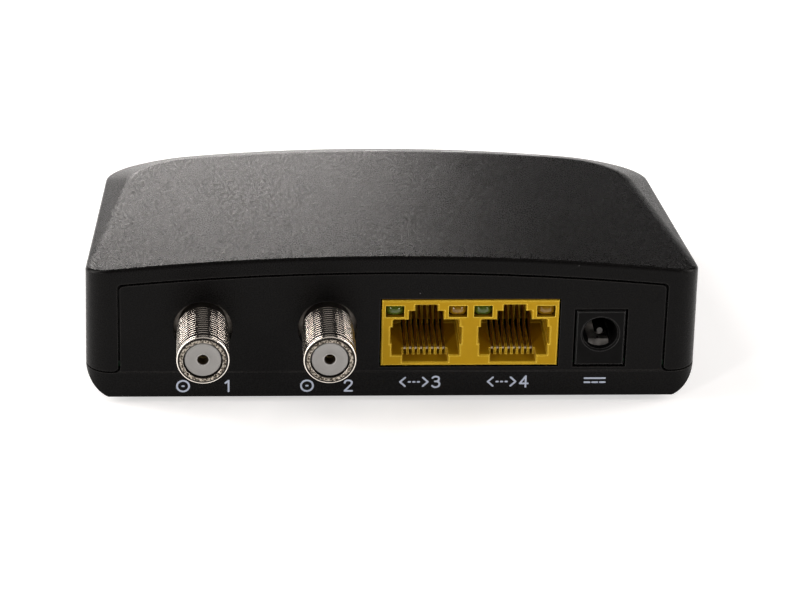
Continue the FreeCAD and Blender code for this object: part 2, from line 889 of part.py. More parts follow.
# ---------------------------------------------------------------------------------------------
# Coaxial sockets
# ---------------------------------------------------------------------------------------------

THREAD_START = "(-coax_reach + barrel_rim)"
ROOT = "(thread_radius - thread_depth)"


def barrel_section():
    """Half of the barrel's section, from its mouth through the thread to the block."""
    corners = [
        ("barrel_bore", "-coax_reach"),
        ("thread_radius - barrel_chamfer", "-coax_reach"),
        ("thread_radius", "-coax_reach + barrel_chamfer"),
        ("thread_radius", THREAD_START),
    ]
    count = int((size("coax_reach") - size("barrel_rim") - size("barrel_neck"))
                / size("thread_pitch"))
    for turn in range(count):
        start = f"{THREAD_START} + {turn} * thread_pitch"
        root_width = "(thread_pitch - thread_crest - 2 * thread_flank)"
        corners += [
            (ROOT, f"{start} + thread_flank"),
            (ROOT, f"{start} + thread_flank + {root_width}"),
            ("thread_radius", f"{start} + 2 * thread_flank + {root_width}"),
            ("thread_radius", f"{start} + thread_pitch"),
        ]
    corners += [
        (ROOT, f"{THREAD_START} + {count} * thread_pitch + thread_flank"),
        (ROOT, "wall + block_gap + wall / 2"),
        ("barrel_bore", "wall + block_gap + wall / 2"),
    ]
    return corners


def make_coax(number, x):
    """One socket: threaded shell with its block and legs, insulator, and centre contact."""
    name = f"coax_{number}"
    barrel = put(turned(name + "_barrel", "XY", barrel_section()), x, "0", COAX_AXIS)
    block_height = f"({COAX_AXIS} + block_width / 2 - {BOARD_TOP})"
    block = centred_box(name + "_block", x, BLOCK_FRONT, BOARD_TOP,
                        "block_width", "block_depth", block_height)
    legs = []
    for side in (-1, 1):
        for row, inset in (("front", "2 * leg_radius"), ("rear", "block_depth - 2 * leg_radius")):
            word = "left" if side < 0 else "right"
            legs.append(rod(f"{name}_leg_{word}_{row}",
                            f"{x} + {side} * (block_width / 2 - 2 * leg_radius)",
                            f"{BLOCK_FRONT} + {inset}", f"{BOARD_TOP} - leg_length",
                            "leg_radius", "leg_length"))
    body = fused(name + "_body", [barrel, block] + legs)
    bore = rod(name + "_bore", x, "-coax_reach", COAX_AXIS, "barrel_bore",
               f"coax_reach + insulator_depth", "y")
    well = centred_box(name + "_well", x, "insulator_depth", BOARD_TOP,
                       "4 * contact_radius", f"{BLOCK_FRONT} + block_depth",
                       f"{COAX_AXIS} + 2 * contact_radius - {BOARD_TOP}")
    finish(cut(name + "_shell", body, [bore, well]), name + "_shell")

    front = "(-coax_reach + insulator_recess)"
    insulator = turned(name + "_insulator", "XY", [
        ("insulator_hole + insulator_sink", front),
        ("barrel_bore - screw_fit", front),
        ("barrel_bore - screw_fit", "insulator_depth"),
        ("contact_radius + screw_fit", "insulator_depth"),
        ("contact_radius + screw_fit", f"{front} + insulator_lip"),
        ("insulator_hole", f"{front} + insulator_lip"),
        ("insulator_hole", f"{front} + insulator_sink"),
    ])
    finish(put(insulator, x, "0", COAX_AXIS), name + "_insulator")

    tube_length = "(coax_reach - insulator_recess - insulator_lip + insulator_depth + contact_drop)"
    tube_start = f"({front} + insulator_lip)"
    tube = rod(name + "_tube", x, tube_start, COAX_AXIS, "contact_radius", tube_length, "y")
    tail = rod(name + "_tail", x, "insulator_depth + contact_drop / 2",
               f"{BOARD_TOP} - leg_length", "contact_pin",
               f"{COAX_AXIS} - {BOARD_TOP} + leg_length", "z")
    solid = fused(name + "_pin", [tube, tail])
    hole = rod(name + "_hole", x, tube_start, COAX_AXIS, "contact_bore",
               "coax_reach - insulator_recess - insulator_lip", "y")
    slit = centred_box(name + "_slit", x, tube_start, f"{COAX_AXIS} - contact_pin / 4",
                       "3 * contact_radius", "coax_reach / 2", "contact_pin / 2")
    finish(cut(name + "_contact", solid, [hole, slit]), name + "_contact")


make_coax(1, "coax_one")
make_coax(2, "coax_two")


# ---------------------------------------------------------------------------------------------
# Double modular jack
# ---------------------------------------------------------------------------------------------

PORTS = {1: "(jack_centre - jack_pitch / 2)", 2: "(jack_centre + jack_pitch / 2)"}
SILL = "(floor + post_height + board_thickness + sill_height)"
CONTACTS = range(8)
WIRE_FLOOR = f"({SILL} + wire_gap)"
HINGE_Y = "(wire_bend + wire_bend_radius)"
HINGE_Z = f"({WIRE_FLOOR} + wire_thickness + wire_bend_radius)"


def contact_x(port, index):
    """Across-place of one contact's centre, as a formula."""
    return f"({PORTS[port]} + {index - 3.5} * contact_pitch)"


def port_corners():
    """The opening of one port, keyway upwards, about its own centre line."""
    def level(drop):
        return f"({JACK_TOP} - {drop})"

    half = [
        ("keyway_width / 2", level("keyway_top")),
        ("keyway_width / 2", level("step_top")),
        ("step_width / 2", level("step_top")),
        ("step_width / 2", level("port_top")),
        ("port_width / 2 - port_slope", level("port_top")),
        ("port_width / 2", level("(port_top + port_slope)")),
        ("port_width / 2", level("ear_top")),
        ("ear_width / 2", level("ear_top")),
        ("ear_width / 2", level("ear_bottom")),
        ("port_lower_width / 2", level("ear_bottom")),
        ("port_lower_width / 2", level("port_bottom")),
        ("sill_width / 2", level("port_bottom")),
        ("sill_width / 2", SILL),
    ]
    left = [(f"-({u})", v) for u, v in reversed(half)]
    return half + left


def make_jack_housing():
    """The jack's moulding: two ports with combs for the wires, lamp tunnels and pegs."""
    body = box("jack_block", JACK_LEFT, "0", BOARD_TOP, "jack_width", "jack_depth", "jack_height")
    pegs = [rod(f"jack_peg_{port}", PORTS[port], "peg_place", f"{BOARD_TOP} - peg_length",
                "peg_radius", "peg_length") for port in PORTS]
    solid = fused("jack_body", [body] + pegs)
    mouths = []
    tools = []
    for port, x in PORTS.items():
        mouth = slab(f"port_{port}_mouth", "XZ", port_corners(), x, "0", "0", "comb_front")
        upper = [corner for corner in port_corners() if corner[1] != SILL]
        deep = slab(f"port_{port}_deep", "XZ", upper, x, "0", "0", "port_depth")
        mouths += [mouth, deep]
        for index in CONTACTS:
            across = contact_x(port, index)
            place = f"port_{port}_slot_{index + 1}"
            tools.append(centred_box(place, across, "comb_front", SILL, "slot_width",
                                     "port_depth + comb_depth - comb_front",
                                     "jack_height - port_bottom"))
            tools.append(centred_box(place + "_rear", across, "port_depth", SILL, "slot_width",
                                     "comb_depth", "comb_height"))
        tools.append(centred_box(f"port_{port}_pocket", x, "port_depth + comb_depth", BOARD_TOP,
                                 "8 * contact_pitch", "jack_depth", "3 * sill_height"))
        for word, side in (("left", -1), ("right", 1)):
            lamp_x = f"({x} + {side} * (jack_pitch / 2 - lamp_inset - lamp_width / 2))"
            tools.append(centred_box(
                f"port_{port}_tunnel_{word}", lamp_x, "0", f"{JACK_TOP} - lamp_drop - lamp_height",
                "lamp_width", "jack_depth", "lamp_height"))
    opened = front_chamfered("jack_edges", cut("jack_ports", solid, mouths), "jack_chamfer")
    finish(cut("rj45_housing", opened, tools), "rj45_housing")


def make_wires():
    """The sprung wires of both ports, and the fixed tails that they fold back from."""
    tails = []
    for port, x in PORTS.items():
        radius = size("wire_bend_radius")
        thick = size("wire_thickness")
        rise = math.radians(size("wire_lift"))
        hinge = Vector(0, worked_out(HINGE_Y), worked_out(HINGE_Z))

        run = Vector(0, math.cos(rise), math.sin(rise)) * size("wire_length")
        start = math.radians(-100)
        end = rise + math.radians(90) - math.radians(360)
        middle = (start + end) / 2
        directions = [Vector(0, math.cos(angle), math.sin(angle))
                      for angle in (start, middle, end)]
        inner = [hinge + direction * radius for direction in directions]
        outer = [hinge + direction * (radius + thick) for direction in directions]
        edges = [
            Part.Arc(*inner).toShape(),
            Part.makeLine(inner[2], inner[2] + run),
            Part.makeLine(inner[2] + run, outer[2] + run),
            Part.makeLine(outer[2] + run, outer[2]),
            Part.Arc(*reversed(outer)).toShape(),
            Part.makeLine(outer[0], inner[0]),
        ]
        face = Part.Face(Part.Wire(edges))
        springs = []
        for index in CONTACTS:
            across = worked_out(contact_x(port, index)) - size("wire_width") / 2
            spring = face.extrude(Vector(size("wire_width"), 0, 0))
            spring.translate(Vector(across, 0, 0))
            springs.append(spring)
        finish(solid_feature(f"rj45_{port}_contacts", Part.Compound(springs)),
               f"rj45_{port}_contacts")
        for index in CONTACTS:
            row = "tail_row_one" if index % 2 else "tail_row_two"
            tail = slab(f"port_{port}_tail_{index + 1}", "YZ", [
                (f"{HINGE_Y} + wire_gap", WIRE_FLOOR),
                (f"{row} - wire_thickness", WIRE_FLOOR),
                (f"{row} - wire_thickness", f"{BOARD_TOP} - tail_length"),
                (row, f"{BOARD_TOP} - tail_length"),
                (row, f"{WIRE_FLOOR} + wire_thickness"),
                (f"{HINGE_Y} + wire_gap", f"{WIRE_FLOOR} + wire_thickness"),
            ], f"{contact_x(port, index)} - wire_width / 2", "0", "0", "wire_width")
            tails.append(tail)
    finish(group("rj45_tails", tails), "rj45_tails")


def make_lamps():
    """The green and the amber indicator lamps, and the leads that run back from them."""
    leads = []
    for colour, side in (("green", -1), ("amber", 1)):
        lamps = []
        for port, x in PORTS.items():
            lamp_x = f"({x} + {side} * (jack_pitch / 2 - lamp_inset - lamp_width / 2))"
            low = f"({JACK_TOP} - lamp_drop - lamp_height + lamp_gap)"
            name = f"port_{port}_{colour}"
            half = "(lamp_width / 2 - lamp_gap)"
            high = f"({JACK_TOP} - lamp_drop - lamp_gap)"
            ease = "lamp_height / 4"
            lamps.append(slab(name, "XZ", [
                (f"-{half} + {ease}", low),
                (f"{half} - {ease}", low),
                (half, f"{low} + {ease}"),
                (half, high),
                (f"-{half}", high),
                (f"-{half}", f"{low} + {ease}"),
            ], lamp_x, "lamp_recess", "0", "lamp_length"))
            for end in (-1, 1):
                middle = f"({JACK_TOP} - lamp_drop - lamp_height / 2 - lead_size / 2)"
                across = f"({lamp_x} + {end} * lead_spread / 2)"
                word = "a" if end < 0 else "b"
                leads.append(slab(f"{name}_lead_{word}", "YZ", [
                    ("lamp_recess + lamp_length", middle),
                    ("jack_depth + lead_rear", middle),
                    ("jack_depth + lead_rear", f"{BOARD_TOP} - tail_length"),
                    ("jack_depth + lead_rear + lead_size", f"{BOARD_TOP} - tail_length"),
                    ("jack_depth + lead_rear + lead_size", f"{middle} + lead_size"),
                    ("lamp_recess + lamp_length", f"{middle} + lead_size"),
                ], f"{across} - lead_size / 2", "0", "0", "lead_size"))
        finish(group(f"rj45_{colour}_lamps", lamps), f"rj45_{colour}_lamps")
    finish(group("rj45_lamp_leads", leads), "rj45_lamp_leads")


make_jack_housing()
make_wires()
make_lamps()


# ---------------------------------------------------------------------------------------------
# Power jack
# ---------------------------------------------------------------------------------------------


def make_power_jack():
    """The power jack: housing, centre pin, sprung sleeve blade and solder lugs."""
    block = centred_box("power_block", POWER_X, "0", BOARD_TOP,
                        "power_width", "power_depth", "power_height")
    body = front_chamfered("power_edges", block, "jack_chamfer")
    bore = rod("power_bore_hole", POWER_X, "0", BORE_Z, "power_bore", "power_bore_depth", "y")
    mouth = document.addObject("Part::Cone", "power_mouth")
    mouth.Placement = Placement(Vector(), Rotation(Vector(1, 0, 0), -90))
    bind(mouth, {"Radius1": "power_bore + power_chamfer", "Radius2": "power_bore",
                 "Height": "power_chamfer"})
    put(mouth, POWER_X, "0", BORE_Z)
    slot = centred_box("power_blade_slot", POWER_X, "blade_tip - blade_thickness",
                       f"{BOARD_TOP} + blade_floor", "blade_slot_width",
                       "power_depth", "blade_peak_rise - blade_floor + blade_thickness")
    notch = centred_box("power_lug_notch", POWER_X, "blade_root - wire_gap", BOARD_TOP,
                        "blade_slot_width", "power_depth", "2 * blade_floor")
    pin_hole = rod("power_pin_hole", POWER_X, "power_bore_depth", BORE_Z,
                   "power_shank + screw_fit", "power_depth", "y")
    finish(cut("dc_jack_housing", body, [bore, mouth, slot, notch, pin_hole]),
           "dc_jack_housing")

    pin = turned("dc_jack_pin", "XY", [
        ("0", "power_pin_recess"),
        ("power_pin / 2", "power_pin_recess"),
        ("power_pin", "power_pin_recess + power_pin / 2"),
        ("power_pin", "power_bore_depth"),
        ("power_shank", "power_bore_depth"),
        ("power_shank", "power_depth + lug_thickness"),
        ("0", "power_depth + lug_thickness"),
    ])
    finish(put(pin, POWER_X, "0", BORE_Z), "dc_jack_pin")

    root_z = f"({BOARD_TOP} + blade_root_rise)"
    blade = slab("blade", "YZ", [
        ("blade_root", root_z),
        ("blade_peak", f"{BOARD_TOP} + blade_peak_rise"),
        ("blade_tip", f"{BOARD_TOP} + blade_tip_rise"),
        ("blade_tip", f"{BOARD_TOP} + blade_tip_rise - blade_thickness"),
        ("blade_peak", f"{BOARD_TOP} + blade_peak_rise - blade_thickness"),
        ("blade_root", f"{root_z} - blade_thickness"),
    ], f"{POWER_X} - blade_width / 2", "0", "0", "blade_width")
    finish(blade, "dc_jack_blade")

    rear = centred_box("power_rear_lug", POWER_X, "power_depth", f"{BOARD_TOP} - lug_length",
                       "lug_width", "lug_thickness",
                       f"{BORE_Z} + 2 * power_pin - {BOARD_TOP} + lug_length")
    rear_hole = rod("power_rear_lug_hole", POWER_X, "power_depth - lug_thickness", BORE_Z,
                    "power_shank + screw_fit", "3 * lug_thickness", "y")
    lower = slab("power_lower_lug", "YZ", [
        ("blade_root + wire_gap", root_z),
        ("blade_root + wire_gap", f"{BOARD_TOP} - lug_length"),
        ("blade_root + wire_gap + lug_thickness", f"{BOARD_TOP} - lug_length"),
        ("blade_root + wire_gap + lug_thickness", root_z),
    ], f"{POWER_X} - lug_width / 2", "0", "0", "lug_width")
    finish(group("dc_jack_lugs", [cut("power_rear_lug_cut", rear, [rear_hole]), lower]),
           "dc_jack_lugs")


make_power_jack()


# ---------------------------------------------------------------------------------------------
# Circuit board
# ---------------------------------------------------------------------------------------------


def board_holes():
    """Every hole in the board, as (x, y, radius)."""
    pin = size("pin_hole")
    holes = [(x, y, size("screw_radius") + 3 * size("screw_fit")) for x, y in post_places()]
    for x in (size("coax_one"), size("coax_two")):
        block_front = worked_out(BLOCK_FRONT)
        reach = size("block_width") / 2 - 2 * size("leg_radius")
        rows = (block_front + 2 * size("leg_radius"),
                block_front + size("block_depth") - 2 * size("leg_radius"))
        leg = size("leg_radius") + size("fit_gap")
        holes += [(x + side * reach, row, leg) for side in (-1, 1) for row in rows]
        holes.append((x, size("insulator_depth") + size("contact_drop") / 2, pin))
    for port in PORTS:
        centre = worked_out(PORTS[port])
        holes.append((centre, size("peg_place"), size("peg_radius") + size("fit_gap")))
        for index in CONTACTS:
            row = size("tail_row_one") if index % 2 else size("tail_row_two")
            holes.append((worked_out(contact_x(port, index)),
                          row - size("wire_thickness") / 2, pin - size("fit_gap")))
        for side in (-1, 1):
            lamp = centre + side * (size("jack_pitch") / 2 - size("lamp_inset")
                                    - size("lamp_width") / 2)
            row = size("jack_depth") + size("lead_rear") + size("lead_size") / 2
            holes += [(lamp + end * size("lead_spread") / 2, row, pin) for end in (-1, 1)]
    lug = size("lug_width") / 2 + size("fit_gap")
    power = worked_out(POWER_X)
    holes.append((power, size("power_depth") + size("lug_thickness") / 2, lug))
    holes.append((power, size("blade_root") + size("wire_gap") + size("lug_thickness") / 2, lug))
    return holes


def make_main_board():
    """The board: cut corners at the front, and a hole for every leg, peg, pin and screw."""
    half = size("case_width") / 2 - size("wall") - size("board_side_margin")
    front = worked_out(BOARD_FRONT)
    rear = size("wall") + size("board_rear")
    corner = size("board_corner_cut")
    narrow = half - (front - rear) * math.tan(math.radians(size("side_taper")))
    right = [(half, rear), (narrow, front - corner), (narrow - corner, front)]
    corners = right + [(-x, y) for x, y in reversed(right)]
    wire = Part.makePolygon([Vector(x, y, board_under) for x, y in corners + corners[:1]])
    board = Part.Face(wire).extrude(Vector(0, 0, size("board_thickness")))
    cutters = [upright(x, y, board_under - 1, board_top + 1, radius)
               for x, y, radius in board_holes()]
    return board.cut(Part.Compound(cutters))


finish(solid_feature("main_board", make_main_board()), "main_board")


# ---------------------------------------------------------------------------------------------
# Status lights
# ---------------------------------------------------------------------------------------------


def make_light_pipe():
    """Three clear windows, flush with the top's front edge, on one bar over the board."""
    bar_low = board_top + size("light_bar_rise")
    bar_high = bar_low + size("light_bar")
    width = size("light_width") - 2 * size("light_gap")
    start = size("case_depth") - size("light_setback") + size("light_gap")
    length = size("light_length") - 2 * size("light_gap")
    foot_low = board_top + size("chip_light_height") + size("light_air")
    foot_front = worked_out(BOARD_FRONT) - size("chip_light_width") / 4
    pitch = size("light_pitch")
    bar = Part.makeBox(2 * pitch + width, start + length - foot_front + size("light_foot"),
                       size("light_bar"),
                       Vector(-width / 2, foot_front - size("light_foot"), bar_low))
    pipe = bar.common(case_form(size("wall") + size("fit_gap")))
    for index in range(3):
        x = index * pitch
        blade = Part.makeBox(width, length, 2 * size("case_height"),
                             Vector(x - width / 2, start, bar_low))
        pipe = pipe.fuse(blade.common(outer_form))
        leg = Part.makeBox(width, size("light_foot"), bar_high - foot_low,
                           Vector(x - width / 2, foot_front - size("light_foot"), foot_low))
        pipe = pipe.fuse(leg)
    return pipe.removeSplitter()


def make_chip_lights():
    """The three lamps that shine into the light pipe's feet."""
    width = "chip_light_width"
    lights = []
    for index in range(3):
        lights.append(centred_box(
            f"chip_light_{index + 1}", f"{index} * light_pitch",
            f"{BOARD_FRONT} - {width} / 4 - light_foot / 2 - {width} / 2",
            BOARD_TOP, width, width, "chip_light_height"))
    finish(group("status_lamps", lights), "status_lamps")


finish(solid_feature("status_light_pipe", make_light_pipe()), "status_light_pipe")
make_chip_lights()


# ---------------------------------------------------------------------------------------------
# Parts on the board
# ---------------------------------------------------------------------------------------------


def make_shield():
    """The tuner's screening can: a folded frame on the board with a lid pressed over it."""
    skin = "shield_skin"
    outside = centred_box("shield_block", "shield_centre", "shield_rear", BOARD_TOP,
                          "shield_width", "shield_depth", "shield_height")
    inside = centred_box("shield_room", "shield_centre", f"shield_rear + {skin}",
                         BOARD_TOP, f"shield_width - 2 * {skin}", f"shield_depth - 2 * {skin}",
                         f"shield_height - {skin}")
    window = centred_box("shield_window", "shield_centre", f"shield_rear + 6 * {skin}",
                         BOARD_TOP, f"shield_width - 12 * {skin}", f"shield_depth - 12 * {skin}",
                         "2 * shield_height")
    finish(cut("shield_frame", outside, [inside, window]), "shield_frame")
    cover = centred_box("shield_cover", "shield_centre", f"shield_rear - {skin} - screw_fit",
                        f"{BOARD_TOP} + {skin}", f"shield_width + 2 * {skin} + 2 * screw_fit",
                        f"shield_depth + 2 * {skin} + 2 * screw_fit", "shield_height")
    room = centred_box("shield_cover_room", "shield_centre", "shield_rear - screw_fit",
                       BOARD_TOP, "shield_width + 2 * screw_fit", "shield_depth + 2 * screw_fit",
                       "shield_height")
    finish(cut("shield_lid", cover, [room]), "shield_lid")


def make_processor():
    """The processor, its thermal pad and its finned heat sink."""
    side = "processor_size"
    chip = padded("processor_chip", "XY", [
        (f"-{side} / 2", f"-{side} / 2"), (f"{side} / 2", f"-{side} / 2"),
        (f"{side} / 2", f"{side} / 2"), (f"-{side} / 2", f"{side} / 2"),
    ], "processor_height")
    finish(put(chip, "processor_place", "processor_row", BOARD_TOP), "processor_chip")
    pad = centred_box("thermal_pad", "processor_place", f"processor_row - {side} / 2",
                      f"{BOARD_TOP} + processor_height", side, side, "pad_height")
    finish(pad, "thermal_pad")
    base = f"({BOARD_TOP} + processor_height + pad_height)"
    plate = centred_box("sink_plate", "processor_place", "processor_row - sink_size / 2", base,
                        "sink_size", "sink_size", "sink_base")
    fins = []
    count = int(size("fin_count"))
    for index in range(count):
        step = f"{index} * (sink_size - fin_thickness) / {count - 1}"
        fins.append(centred_box(f"sink_fin_{index + 1}",
                                f"processor_place - (sink_size - fin_thickness) / 2 + {step}",
                                "processor_row - sink_size / 2", base,
                                "fin_thickness", "sink_size", "sink_base + sink_height"))
    finish(fused("heat_sink", [plate] + fins), "heat_sink")


def make_chips():
    """The other packages: memory, flash, crystal and voltage regulator."""
    finish(centred_box("memory_chip", "memory_place", "processor_row - memory_depth / 2",
                       BOARD_TOP, "memory_width", "memory_depth", "memory_height"),
           "memory_chip")
    finish(centred_box("flash_chip", "flash_place", "processor_row + flash_width / 4",
                       BOARD_TOP, "flash_width", "flash_width", "memory_height"),
           "flash_chip")
    finish(centred_box("crystal", "flash_place", "processor_row + flash_width * 2",
                       BOARD_TOP, "crystal_width", "crystal_depth", "crystal_height"),
           "crystal")
    finish(centred_box("voltage_regulator", "regulator_place - capacitor_radius * 3",
                       "choke_row - transistor_size / 2",
                       BOARD_TOP, "transistor_size", "transistor_size", "processor_height"),
           "voltage_regulator")


def make_transformers():
    """One line transformer behind each port."""
    pieces = []
    for port, x in PORTS.items():
        pieces.append(centred_box(f"transformer_{port}", x,
                                  "transformer_row - transformer_depth / 2", BOARD_TOP,
                                  "transformer_width", "transformer_depth",
                                  "transformer_height"))
    finish(group("line_transformers", pieces), "line_transformers")


def can_section(radius, height):
    """Half the section of an electrolytic capacitor's crimped can."""
    groove = f"{height} / 6"
    return [
        ("0", "0"),
        (radius, "0"),
        (radius, groove),
        (f"{radius} - chip_cap_height / 2", f"{groove} + chip_cap_height / 2"),
        (radius, f"{groove} + chip_cap_height"),
        (radius, f"{height} - chip_cap_height / 2"),
        (f"{radius} - chip_cap_height / 2", height),
        ("0", height),
    ]


def make_capacitors():
    """The input capacitor and the smaller output capacitor."""
    large = turned("input_capacitor", "XZ", can_section("capacitor_radius", "capacitor_height"))
    finish(put(large, "regulator_place", "capacitor_row", BOARD_TOP), "input_capacitor")
    small = turned("output_capacitor", "XZ",
                   can_section("small_capacitor_radius", "small_capacitor_height"))
    finish(put(small, "regulator_place", "small_capacitor_row", BOARD_TOP), "output_capacitor")


def make_choke():
    """The power choke: a square ferrite block with cut corners."""
    half = "choke_size / 2"
    ease = "choke_size / 6"
    choke = padded("power_choke", "XY", [
        (f"-{half} + {ease}", f"-{half}"), (f"{half} - {ease}", f"-{half}"),
        (half, f"-{half} + {ease}"), (half, f"{half} - {ease}"),
        (f"{half} - {ease}", half), (f"-{half} + {ease}", half),
        (f"-{half}", f"{half} - {ease}"), (f"-{half}", f"-{half} + {ease}"),
    ], "choke_height")
    finish(put(choke, "regulator_place", "choke_row", BOARD_TOP), "power_choke")


def make_chip_capacitors():
    """A row of small ceramic capacitors on each side of the processor."""
    pieces = []
    for row in (-1, 1):
        for index in range(6):
            pieces.append(centred_box(
                f"chip_cap_{'rear' if row < 0 else 'front'}_{index + 1}",
                f"processor_place + {index - 2.5} * 2 * chip_cap_width",
                f"processor_row + {row} * (sink_size / 2 + chip_cap_width) - chip_cap_depth / 2",
                BOARD_TOP, "chip_cap_width", "chip_cap_depth", "chip_cap_height"))
    finish(group("ceramic_capacitors", pieces), "ceramic_capacitors")


make_shield()
make_processor()
make_chips()
make_transformers()
make_capacitors()
make_choke()
make_chip_capacitors()


# ---------------------------------------------------------------------------------------------
# Check and write
# ---------------------------------------------------------------------------------------------

document.recompute()
faults = [thing.Name for thing in document.Objects
          if "Invalid" in thing.State or "Error" in thing.State]
for thing in sub_parts:
    if thing.Shape.isNull() or not thing.Shape.isValid() or not thing.Shape.Solids:
        faults.append(thing.Label)
if faults:
    raise RuntimeError("these did not build: " + ", ".join(faults))

os.makedirs("parts", exist_ok=True)
for thing in sub_parts:
    thing.Shape.exportStep(f"parts/{thing.Label}.step")
    print(thing.Label, len(thing.Shape.Solids), round(thing.Shape.Volume, 2))
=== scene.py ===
import json
import math

import bmesh
import bpy
from mathutils import Matrix, Vector
from mathutils.bvhtree import BVHTree

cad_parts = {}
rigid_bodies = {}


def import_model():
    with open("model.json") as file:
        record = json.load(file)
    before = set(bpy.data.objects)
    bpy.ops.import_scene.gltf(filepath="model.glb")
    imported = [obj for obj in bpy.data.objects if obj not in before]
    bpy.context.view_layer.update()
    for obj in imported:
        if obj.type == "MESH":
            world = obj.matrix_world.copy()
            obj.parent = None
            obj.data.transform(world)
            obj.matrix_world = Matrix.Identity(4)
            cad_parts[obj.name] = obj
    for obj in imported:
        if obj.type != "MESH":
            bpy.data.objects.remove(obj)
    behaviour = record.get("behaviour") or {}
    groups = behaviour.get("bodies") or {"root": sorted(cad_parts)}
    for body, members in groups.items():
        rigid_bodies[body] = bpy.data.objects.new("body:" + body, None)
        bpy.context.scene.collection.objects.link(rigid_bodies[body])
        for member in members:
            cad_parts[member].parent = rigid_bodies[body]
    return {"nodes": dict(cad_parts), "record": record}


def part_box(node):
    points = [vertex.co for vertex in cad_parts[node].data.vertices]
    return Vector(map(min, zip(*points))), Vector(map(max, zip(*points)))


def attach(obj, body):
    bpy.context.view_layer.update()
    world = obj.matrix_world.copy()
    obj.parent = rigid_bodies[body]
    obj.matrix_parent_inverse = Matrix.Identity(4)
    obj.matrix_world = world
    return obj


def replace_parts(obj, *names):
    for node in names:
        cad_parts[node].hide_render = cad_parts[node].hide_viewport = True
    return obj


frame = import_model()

# A small coaxial network adapter, seen from its connector side. Lengths are in metres and the
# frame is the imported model's: +X to the right of the connector side, +Y forward, +Z up.

for leftover in list(bpy.data.objects):
    if leftover.name in ("Cube", "Light", "Camera"):
        bpy.data.objects.remove(leftover)
bpy.context.view_layer.update()

MM = 0.001
NODES = frame["nodes"]
MAIN = "adapter"


# ---------------------------------------------------------------------------------------------
# Materials
# ---------------------------------------------------------------------------------------------


# How well the eased and the true normal agree at a sharp edge and on a flat face.
EDGE_AGREEMENT = (0.88, 0.992)
# The share of open sky in a deep hollow and in a shallow one.
HOLLOW_OPENNESS = (0.05, 0.50)


